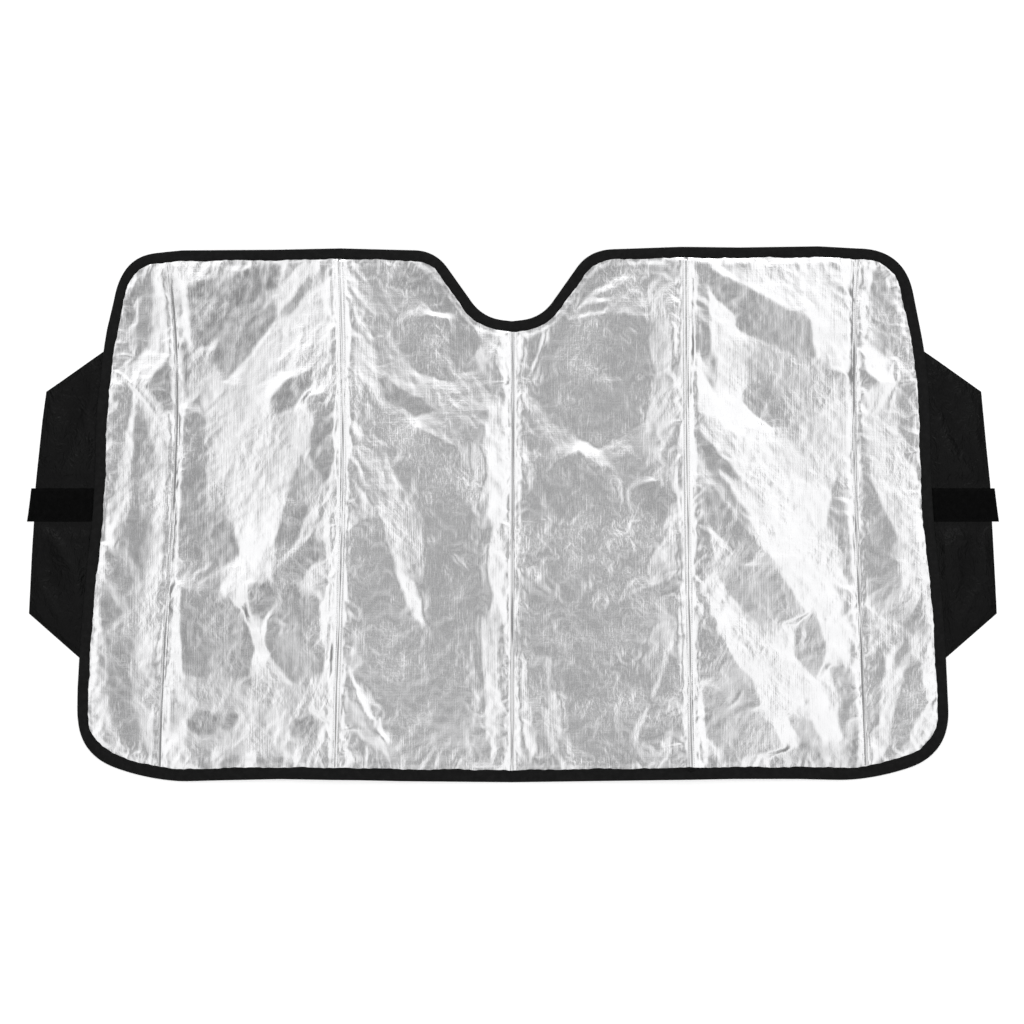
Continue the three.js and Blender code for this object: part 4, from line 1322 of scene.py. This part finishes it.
def makeBinding():
    points, ways, run = fullRim(binding["stations"])
    count = len(points)
    width = shade["bindingWidth"]
    wall = shade["tapeWall"]
    thick = 2 * (wall + shade["clearance"]) + shade["rimThickness"]
    lift = liftAt(points[:, 0], points[:, 1])
    edge = binding["jitter"] * ripple(count, (231, 307, 173, 118), binding["seed"])
    edge += binding["wander"] * ripple(count, (23, 37, 54, 71), binding["seed"] + 2)
    edge += widerBelow(ways)
    swell = binding["swell"] * ripple(count, (264, 149, 331, 88), binding["seed"] + 1)
    crown = binding["crown"]
    turn = np.linspace(0, math.pi, 7)
    middle = thick / 2
    nose = [(middle * (1 - math.sin(a)), middle - middle * math.cos(math.pi - a)) for a in turn]
    # inner edge on top, round the fold, inner edge underneath, and back inside the fold
    section = [(width, thick - wall, 1), (width + 0.15, thick - wall / 2, 1), (width - 0.3, thick, 1)]
    for s in (0.82, 0.6, 0.4, 0.24):
        section.append((width * s, thick + crown * math.sin(math.pi * s) ** 0.8, 0.6))
    section += [(inset, height, 0) for inset, height in nose]
    section += [(width * s, 0, 0) for s in (0.3, 0.6)] + [(width, 0, 0), (width, wall, 0)]
    section += [(wall + 0.4, wall, 0), (wall + 0.4, thick - wall, 0)]
    rings = []
    for inset, height, share in section:
        pulled = inset + share * edge
        flat = points + ways * pulled[:, None]
        up = lift + height + share * np.maximum(swell, -0.25) * (height > thick * 0.6)
        if share == 1:
            up = np.maximum(up, sheetTop(*flat.T)[0] + height - thick + wall + 0.1)
        rings.append(np.c_[flat, up])
    rings = np.array(rings)
    turns = len(section)
    faces = []
    for s in range(turns):
        n = (s + 1) % turns
        for k in range(count):
            m = (k + 1) % count
            faces.append((s * count + k, n * count + k, n * count + m, s * count + m))
    piece = newMesh("edge_tape", rings.reshape(-1, 3), faces, bindingCloth)
    layer = piece.data.uv_layers.new(name="cloth")
    lengths = np.append(run, run[-1] + np.linalg.norm(points[-1] - points[0]))
    sectionRun = np.r_[0, np.cumsum(np.linalg.norm(np.diff(np.array(section)[:, :2], axis=0), axis=1))]
    sectionRun = np.append(sectionRun, sectionRun[-1] + width)
    uv = np.zeros((len(piece.data.loops), 2))
    for f, face in enumerate(piece.data.polygons):
        s, k = divmod(f, count)
        corners = ((k, s), (k, s + 1), (k + 1, s + 1), (k + 1, s))
        for loop, (a, b) in zip(face.loop_indices, corners):
            uv[loop] = lengths[a], sectionRun[b]
    layer.data.foreach_set("uv", uv.ravel())
    return piece


bindingPiece = makeBinding()
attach(bindingPiece, "root")
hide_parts("edge_binding")
print("binding swept")


# closed solid between two grids of heights over one plan
def plateMesh(name, plan, top, under, material):
    columns, lines = plan.shape[:2]
    front = np.dstack([plan, top]).reshape(-1, 3)
    back = np.dstack([plan, under]).reshape(-1, 3)
    start = columns * lines
    faces = gridFaces(columns, lines) + gridFaces(columns, lines, start, flip=True)
    ring = [i * lines + j for i, j in borderOrder(columns, lines)]
    for k, a in enumerate(ring):
        b = ring[(k + 1) % len(ring)]
        faces.append((b, a, start + a, start + b))
    piece = newMesh(name, np.concatenate([front, back]), faces, material)
    layer = piece.data.uv_layers.new(name="cloth")
    corners = np.empty(len(piece.data.loops), int)
    piece.data.loops.foreach_get("vertex_index", corners)
    flat = np.concatenate([plan.reshape(-1, 2)] * 2)
    layer.data.foreach_set("uv", flat[corners].ravel())
    return piece


# cloth wings: a root sewn under the binding and three hemmed edges
wing = {
    "rootTop": 258,
    "rootBottom": -225,
    "tuck": 13,
    "topCorner": (79, 185),
    "elbow": (88.5, 45),
    "bottomCorner": (80.5, -148),
    "rootLength": 483,
    "outerLength": 333,
    "cloth": 0.5,
    "hem": 0.75,
    "hemWidth": 9,
    "columns": 46,
    "rows": 200,
}

# folds of each wing as they show in the photograph: a line of points, its width and height
wingFolds = {
    "right": [
        {"line": [(638, 190), (648, 150), (664, 108), (702, 60)], "width": 9, "height": -3.2},
        {"line": [(646, 140), (655, 95), (676, 52)], "width": 20, "height": 4.2},
        {"line": [(668, 185), (690, 120), (706, 90)], "width": 11, "height": 3.4},
        {"line": [(684, 176), (704, 125)], "width": 7, "height": 2.4},
        {"line": [(655, -20), (648, -90)], "width": 18, "height": 3.6},
        {"line": [(696, -18), (680, -60), (676, -130)], "width": 10, "height": -3.0},
        {"line": [(706, -30), (704, -110)], "width": 12, "height": 3.0},
        {"line": [(644, -120), (668, -160)], "width": 7, "height": 2.6},
        {"line": [(694, -110), (672, -158)], "width": 6, "height": 2.2},
        {"line": [(716, -138), (690, -128)], "width": 6, "height": 1.8},
    ],
    "left": [
        {"line": [(-640, 200), (-652, 150), (-670, 105), (-696, 62)], "width": 10, "height": -3.2},
        {"line": [(-634, 120), (-650, 85), (-672, 52)], "width": 20, "height": 4.0},
        {"line": [(-692, 165), (-680, 130), (-690, 95)], "width": 14, "height": 3.4},
        {"line": [(-706, -12), (-676, -48), (-655, -92)], "width": 8, "height": 4.2},
        {"line": [(-700, -44), (-688, -80), (-680, -122)], "width": 11, "height": -3.0},
        {"line": [(-640, -60), (-648, -130)], "width": 16, "height": 3.0},
        {"line": [(-712, -95), (-690, -132), (-672, -160)], "width": 8, "height": 2.8},
    ],
}


def toLine(x, y, line):
    # distance from a bent line, and how far along it
    best = np.full(x.shape, 1e9)
    share = np.zeros(x.shape)
    ends = np.array(line, float)
    lengths = np.linalg.norm(np.diff(ends, axis=0), axis=1)
    run = 0.0
    for a, b, length in zip(ends[:-1], ends[1:], lengths):
        way = (b - a) / length
        u = np.clip((x - a[0]) * way[0] + (y - a[1]) * way[1], 0, length)
        off = np.hypot(x - a[0] - u * way[0], y - a[1] - u * way[1])
        near = off < best
        best = np.where(near, off, best)
        share = np.where(near, (run + u) / lengths.sum(), share)
        run += length
    return best, share


tape = {"middle": 15, "width": 50, "topReach": 94.5, "bottomReach": 97.5, "start": 1.0, "low": 1.0,
        "web": 0.8, "pile": 0.6, "selvage": 3.2}


def wingPlan():
    t = np.linspace(0, 1, wing["rows"] + 1)
    run = np.interp([wing["rootBottom"], wing["rootTop"]], rim[cornerLow:cornerHigh + 1, 1],
                    np.arange(cornerLow, cornerHigh + 1))
    root = rimPoint(blend(run[0], run[1], t), wing["tuck"])
    corners = [np.array((sideX(y) + reach, y)) for reach, y in
               (wing["bottomCorner"], wing["elbow"], wing["topCorner"])]
    lower = np.linalg.norm(corners[1] - corners[0])
    outer = lower + np.linalg.norm(corners[2] - corners[1])
    edge = np.array([[np.interp(v * outer, (0, lower, outer), [c[k] for c in corners]) for k in (0, 1)]
                     for v in t])
    s = np.linspace(0, 1, wing["columns"] + 1)[:, None, None]
    return blend(root[None], edge[None], s)


def makeWing(name, side):
    plan = wingPlan()
    if side < 0:
        plan = plan[::-1] * (-1, 1)
    x = plan[..., 0]
    y = plan[..., 1]
    beyond = np.abs(x) - sideX(y)
    s = np.linspace(0, 1, wing["columns"] + 1)[:, None] + 0 * x
    if side < 0:
        s = s[::-1]
    across = np.linalg.norm(plan[0] - plan[-1], axis=-1)[None, :] * (1 - s)
    t = np.linspace(0, 1, wing["rows"] + 1)[None, :] + 0 * x
    lengthwise = np.minimum(t, 1 - t) * blend(wing["rootLength"], wing["outerLength"], s)
    toEdge = np.minimum(across, lengthwise)
    calm = ease((np.abs(y - tape["middle"]) - tape["width"] / 2 - 5) / 22)
    free = ease(beyond / 14) * calm
    deal = np.random.default_rng(7 if side > 0 else 8)
    folds = np.zeros(x.shape)
    for fold in wingFolds["right" if side > 0 else "left"]:
        off, share = toLine(x, y, fold["line"])
        body = np.sin(math.pi * blend(0.12, 0.88, share))
        folds += fold["height"] * body * np.exp(-(off / fold["width"]) ** 1.7)
    for _ in range(46):
        start = (side * deal.uniform(625, 715), deal.uniform(-150, 200))
        turn = deal.uniform(0, math.pi)
        length = deal.uniform(10, 34)
        end = (start[0] + length * math.cos(turn), start[1] + length * math.sin(turn))
        off, share = toLine(x, y, [start, end])
        body = deal.uniform(-0.5, 0.6) * np.sin(math.pi * share)
        folds += body * np.exp(-(off / deal.uniform(2.5, 5)) ** 1.4)
    # painted shade mask: higher in the low parts of the folds, darkening the cloth's colour
    painted_shade = np.clip(0.5 - folds / 5.0, 0, 1)
    folds = folds - folds.min()
    puckers = 0.35 * np.sin(2 * math.pi * (t * wing["rootLength"] / 11 + 0.3 * np.sin(t * 60)))
    puckers = puckers * np.exp(-((toEdge - 4.5) / 4) ** 2)
    rest = ease(toEdge / 16)
    low = 0.12 + (folds * (0.18 + 0.82 * rest) * 0.8 + np.maximum(puckers, 0)) * free
    hem = ease((wing["hemWidth"] - toEdge) / 1.2 + 0.5)
    roll = ease(toEdge / 0.8) * 0.35 + 0.65
    groove = 0.22 * np.exp(-((toEdge - wing["hemWidth"] + 1.8) / 0.9) ** 2)
    thick = blend(wing["cloth"], wing["hem"], hem) * roll - groove * hem * calm
    thick = np.where(beyond < 1, np.minimum(thick, 0.5), thick)
    piece = plateMesh(name, plan, low + thick, low, wingCloth)
    store = piece.data.attributes.new("painted_shade", "FLOAT", "POINT")
    store.data.foreach_set("value", np.concatenate([painted_shade.ravel()] * 2).astype(np.float32))
    return piece, plan, low + thick


wings = {}
for side, name in ((1, "right"), (-1, "left")):
    piece, plan, top = makeWing(name + "_cloth", side)
    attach(piece, "root")
    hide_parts(name + "_wing")
    wings[name] = {"plan": plan, "top": top}
print("wings laid")


def makeTape(name, side):
    low = tape["middle"] - tape["width"] / 2
    high = tape["middle"] + tape["width"] / 2
    t = np.linspace(0, 1, 41)
    s = np.linspace(0, 1, 73)[:, None]
    y = blend(low, high, t)[None, :] + 0 * s
    start = sideX(y) + tape["start"]
    end = sideX(y) + blend(tape["bottomReach"], tape["topReach"], t)[None, :]
    x = blend(start, end, s)
    inEdge = np.minimum(np.minimum(y - low, high - y), np.minimum(x - start, end - x))
    field = ease((inEdge - tape["selvage"]) / 0.9)
    roll = ease(inEdge / 0.7 + 0.25)
    wave = 0.12 * np.sin(x / 7.0 + y / 19.0) + 0.08 * np.sin(x / 3.1 - y / 5.0)
    curl = 1.6 * np.clip((x - (sideX(y) + 84)) / 13, 0, 1) ** 2
    top = tape["low"] + tape["web"] * (0.55 + 0.45 * roll) + (tape["pile"] + 0.3 * wave) * field + curl
    under = tape["low"] + curl + 0 * x
    plan = np.dstack([side * x, y])
    if side < 0:
        plan, top, under = plan[::-1], top[::-1], under[::-1]
    return plateMesh(name, plan, top, under, pileCloth), plan, top


# geometry trees: small parts repeated along a path or over a field
def newTree(name, inputs):
    tree = bpy.data.node_groups.new(name, "GeometryNodeTree")
    places = {}
    for title, kind in inputs:
        socket = tree.interface.new_socket(name=title, in_out="INPUT", socket_type="NodeSocket" + kind)
        places[title] = socket.identifier
    tree.interface.new_socket(name="Made", in_out="OUTPUT", socket_type="NodeSocketGeometry")
    graph = Graph(tree)
    given = tree.nodes.new("NodeGroupInput")
    taken = {title: Wire(graph, given.outputs[title]) for title, _ in inputs}
    return graph, taken, places


def closeTree(graph, made):
    last = graph.tree.nodes.new("NodeGroupOutput")
    graph.tree.links.new(made.socket, last.inputs[0])


def randomValue(graph, low, high, seed):
    return graph.node("FunctionNodeRandomValue", {"data_type": "FLOAT"}, {2: low, 3: high, 8: seed}, out=1)


def stitchTree():
    wanted = [("Path", "Geometry"), ("Pitch", "Float"), ("Length", "Float"), ("Thickness", "Float"),
              ("Skew", "Float"), ("Thread", "Material")]
    g, given, places = newTree("stitch_run", wanted)
    curve = g.node("GeometryNodeMeshToCurve", {}, {"Mesh": given["Path"]})
    spots = g.node("GeometryNodeResampleCurve", {"mode": "LENGTH"},
                   {"Curve": curve, "Length": given["Pitch"]})
    way = g.node("GeometryNodeInputTangent")
    lean = g.node("ShaderNodeCombineXYZ", {}, {"X": randomValue(g, -0.12, 0.12, 3), "Y": given["Skew"]})
    aim = g.node("ShaderNodeVectorMath", {"operation": "ADD"}, {0: way, 1: lean})
    turn = g.node("FunctionNodeAlignRotationToVector", {"axis": "X"}, {"Vector": aim})
    bead = g.node("GeometryNodeMeshUVSphere", {}, {"Segments": 6, "Rings": 5, "Radius": 0.5})
    size = g.node("ShaderNodeCombineXYZ", {}, {"X": given["Length"], "Y": given["Thickness"],
                                               "Z": given["Thickness"]})
    shaped = g.node("GeometryNodeTransform", {}, {"Geometry": bead, "Scale": size})
    values = {"Points": spots, "Instance": shaped, "Rotation": turn, "Scale": randomValue(g, 0.85, 1.12, 5)}
    placed = g.node("GeometryNodeInstanceOnPoints", {}, values)
    real = g.node("GeometryNodeRealizeInstances", {}, {"Geometry": placed})
    closeTree(g, g.node("GeometryNodeSetMaterial", {}, {"Geometry": real, "Material": given["Thread"]}))
    return g.tree, places


def pileTree():
    wanted = [("Field", "Geometry"), ("Density", "Float"), ("Radius", "Float"), ("Yarn", "Float"),
              ("Cloth", "Material")]
    g, given, places = newTree("loop_pile", wanted)
    spread = {"Mesh": given["Field"], "Density": given["Density"], "Seed": 11}
    points = g.node("GeometryNodeDistributePointsOnFaces", {"distribute_method": "RANDOM"}, spread)
    arc = g.node("GeometryNodeCurveArc", {}, {"Resolution": 6, "Radius": given["Radius"], "Start Angle": 0.0,
                                              "Sweep Angle": 3.4})
    stood = g.node("GeometryNodeTransform", {}, {"Geometry": arc, "Rotation": (math.pi / 2, 0, 0)})
    yarn = g.node("GeometryNodeCurvePrimitiveCircle", {}, {"Resolution": 3, "Radius": given["Yarn"]})
    loop = g.node("GeometryNodeCurveToMesh", {}, {"Curve": stood, "Profile Curve": yarn, "Fill Caps": True})
    spin = g.node("ShaderNodeCombineXYZ", {}, {"X": randomValue(g, -0.4, 0.4, 13),
                                               "Z": randomValue(g, 0, 6.28, 12)})
    values = {"Points": points, "Instance": loop, "Rotation": spin, "Scale": randomValue(g, 0.7, 1.2, 14)}
    placed = g.node("GeometryNodeInstanceOnPoints", {}, values)
    real = g.node("GeometryNodeRealizeInstances", {}, {"Geometry": placed})
    closeTree(g, g.node("GeometryNodeSetMaterial", {}, {"Geometry": real, "Material": given["Cloth"]}))
    return g.tree, places


def grow(name, base, tree, places, values):
    # runs a tree on a base mesh and keeps the result as a plain mesh
    carrier = bpy.data.objects.new(name, base)
    scene.collection.objects.link(carrier)
    modifier = carrier.modifiers.new("grow", "NODES")
    modifier.node_group = tree
    for title, value in values.items():
        modifier[places[title]] = value
    ready = carrier.evaluated_get(bpy.context.evaluated_depsgraph_get())
    made = bpy.data.meshes.new_from_object(ready)
    carrier.modifiers.clear()
    carrier.data = made
    made.shade_smooth()
    return carrier


def pathMesh(name, lines):
    points = []
    edges = []
    for line in lines:
        start = len(points)
        points += (laid(line) * mm).tolist()
        edges += [(start + k, start + k + 1) for k in range(len(line) - 1)]
    mesh = bpy.data.meshes.new(name)
    mesh.from_pydata(points, edges, [])
    return mesh


stitchRun = stitchTree()
pileRun = pileTree()


def seamRows():
    # the rows of stitches that quilt the sheet
    y = np.arange(shade["bottom"] + 17, shade["top"] - 15, 2.0)
    rows = []
    for seam in seams:
        gap = 2.0 if seam["strip"] < 8 else quilt["rowOffset"]
        for side in (-1, 1):
            x = seamX(seam, upShare(y)) + side * gap
            inside = onMap(fromRim, x, y) > shade["bindingWidth"] + 0.5
            z = sheetTop(x, y)[0] + 0.12
            rows.append(np.c_[x, y, z][inside])
    return rows


def sew(name, lines, pitch, length, thickness, skew, thread):
    values = {"Pitch": pitch * mm, "Length": length * mm, "Thickness": thickness * mm, "Skew": skew,
              "Thread": thread}
    piece = grow(name, pathMesh(name + "_path", lines), *stitchRun, values)
    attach(piece, "root")
    return piece


sew("quilting_stitches", seamRows(), 3.4, 2.5, 0.5, 0.0, silverThread)


def bindingRow():
    points, ways, run = fullRim(2600)
    thick = 2 * (shade["tapeWall"] + shade["clearance"]) + shade["rimThickness"]
    flat = points + ways * (shade["bindingWidth"] - 2.6 + 0.8 * widerBelow(ways))[:, None]
    z = liftAt(points[:, 0], points[:, 1]) + thick + 0.2
    line = np.c_[flat, z]
    return [np.vstack([line, line[:1]])]


sew("binding_stitches", bindingRow(), 3.4, 2.5, 0.55, 0.0, blackThread)


def hemRows(side, plan, top):
    # a row beside each of the three hemmed edges of a wing
    x, y = plan[..., 0], plan[..., 1]
    last = plan.shape[0] - 1
    inset = wing["hemWidth"] - 1.8
    outerColumn = round(last * (1 - inset / 95))
    i = outerColumn if side > 0 else last - outerColumn
    j = max(1, round(wing["rows"] * inset / 390))
    lines = [[(x[i, k], y[i, k], top[i, k] + 0.1) for k in range(j, plan.shape[1] - j)]]
    ins = range(8, outerColumn + 1) if side > 0 else range(i, last - 7)
    for row in (j, plan.shape[1] - 1 - j):
        lines.append([(x[k, row], y[k, row], top[k, row] + 0.1) for k in ins])
    return lines


for side, name, node in ((1, "right", "right_loop_tape"), (-1, "left", "left_hook_tape")):
    piece, plan, top = makeTape(name + "_tape_web", side)
    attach(piece, "root")
    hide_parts(node)
    inner = (slice(3, -3), slice(3, -3))
    field = np.dstack([plan, top])[inner]
    columns, lines = field.shape[:2]
    base = bpy.data.meshes.new(name + "_field")
    base.from_pydata((laid(field.reshape(-1, 3)) * mm).tolist(), [], gridFaces(columns, lines))
    values = {"Density": 430000.0, "Radius": 0.45 * mm, "Yarn": 0.09 * mm, "Cloth": pileCloth}
    pile = grow(name + "_pile", base, *pileRun, values)
    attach(pile, "root")
    sew(name + "_hem_stitches", hemRows(side, wings[name]["plan"], wings[name]["top"]), 3.2, 2.4, 0.45, 0.0,
        blackThread)
    ends = []
    for share in (0.035, 0.9):
        i = round(share * (plan.shape[0] - 1))
        i = i if side > 0 else plan.shape[0] - 1 - i
        ends.append([(*plan[i, j], top[i, j] + 0.15) for j in range(2, plan.shape[1] - 2)])
    for j in (3, plan.shape[1] - 4):
        ends.append([(*plan[i, j], top[i, j] + 0.1) for i in range(3, plan.shape[0] - 3)])
    sew(name + "_tape_stitches", ends, 3.0, 2.2, 0.5, 0.0, blackThread)
print("tapes and stitches sewn")


# floor, light and camera
def makeStudio():
    f = Finish(bpy.data.materials.new("studio_floor"))
    path = f.node("ShaderNodeLightPath", out="Is Camera Ray")
    glossy = Wire(f, path.socket.node.outputs["Is Glossy Ray"])
    through = Wire(f, path.socket.node.outputs["Is Transmission Ray"])
    seen = path + glossy + through
    white = f.node("ShaderNodeBsdfDiffuse", {}, {"Color": (0.8, 0.8, 0.8, 1)})
    glow = f.node("ShaderNodeEmission", {}, {"Color": (1, 1, 1, 1), "Strength": seen * studio["floorGlow"]})
    both = f.node("ShaderNodeAddShader", {}, {0: white, 1: glow})
    f.node("ShaderNodeOutputMaterial", {}, {"Surface": both})
    reach = 20000
    ground = [(-reach, -reach, -0.3), (reach, -reach, -0.3), (reach, reach, -0.3), (-reach, reach, -0.3)]
    newMesh("floor", ground, [(0, 1, 2, 3)], f.owner, smooth=False)


def makeWorld():
    # dim overhead, where the camera hangs, bright soft boxes round it, and darker walls
    world = bpy.data.worlds.new("soft_studio")
    scene.world = world
    f = Finish(world)
    way = f.node("ShaderNodeTexCoord", out="Generated")
    x = f.node("ShaderNodeSeparateXYZ", {}, {0: way})
    y = Wire(f, x.socket.node.outputs[1])
    aside = (x - studio["coreX"]) / studio["nearX"]
    ahead = (y - studio["coreY"]) / studio["nearY"]
    near = (aside ** 2 + ahead ** 2) ** 0.5
    reach = (x * x + y * y) ** 0.5
    blotch = f.noise(way, 5.0, 2.0) - 0.5
    ends = {0: near + blotch * 0.25, 1: 0.0, 2: studio["rampTo"], 3: studio["overhead"], 4: studio["sides"]}
    level = f.node("ShaderNodeMapRange", {}, ends)
    level = level * (1 + y * studio["tilt"] + blotch * 0.3)
    walls = f.spread(reach + blotch * 0.2, *studio["wallsFrom"])
    level = level * (1 - walls) + walls * studio["walls"]
    level = level + f.spread(reach, 0.9, 1.0) * (studio["horizon"] - studio["walls"])
    glow = f.node("ShaderNodeBackground", {}, {"Color": (1, 1, 1, 1), "Strength": level})
    f.node("ShaderNodeOutputWorld", {}, {"Surface": glow})


def makeLamp():
    light = bpy.data.lights.new("window", "AREA")
    light.shape = "RECTANGLE"
    light.size = 2.6
    light.size_y = 1.2
    light.energy = studio["lamp"]
    lamp = bpy.data.objects.new("window", light)
    lamp.location = (0.2, 2.2, 2.6)
    lamp.rotation_euler = (math.radians(-40), 0, 0)
    scene.collection.objects.link(lamp)


def makeCamera():
    data = bpy.data.cameras.new("above")
    data.lens = studio["lens"]
    data.sensor_width = 36
    data.clip_end = 60
    camera = bpy.data.objects.new("above", data)
    camera.location = (0, studio["centreY"], studio["cameraHeight"] + 0.004)
    scene.collection.objects.link(camera)
    scene.camera = camera


makeStudio()
makeWorld()
makeLamp()
makeCamera()
scene.view_settings.view_transform = "Standard"
print("studio set")
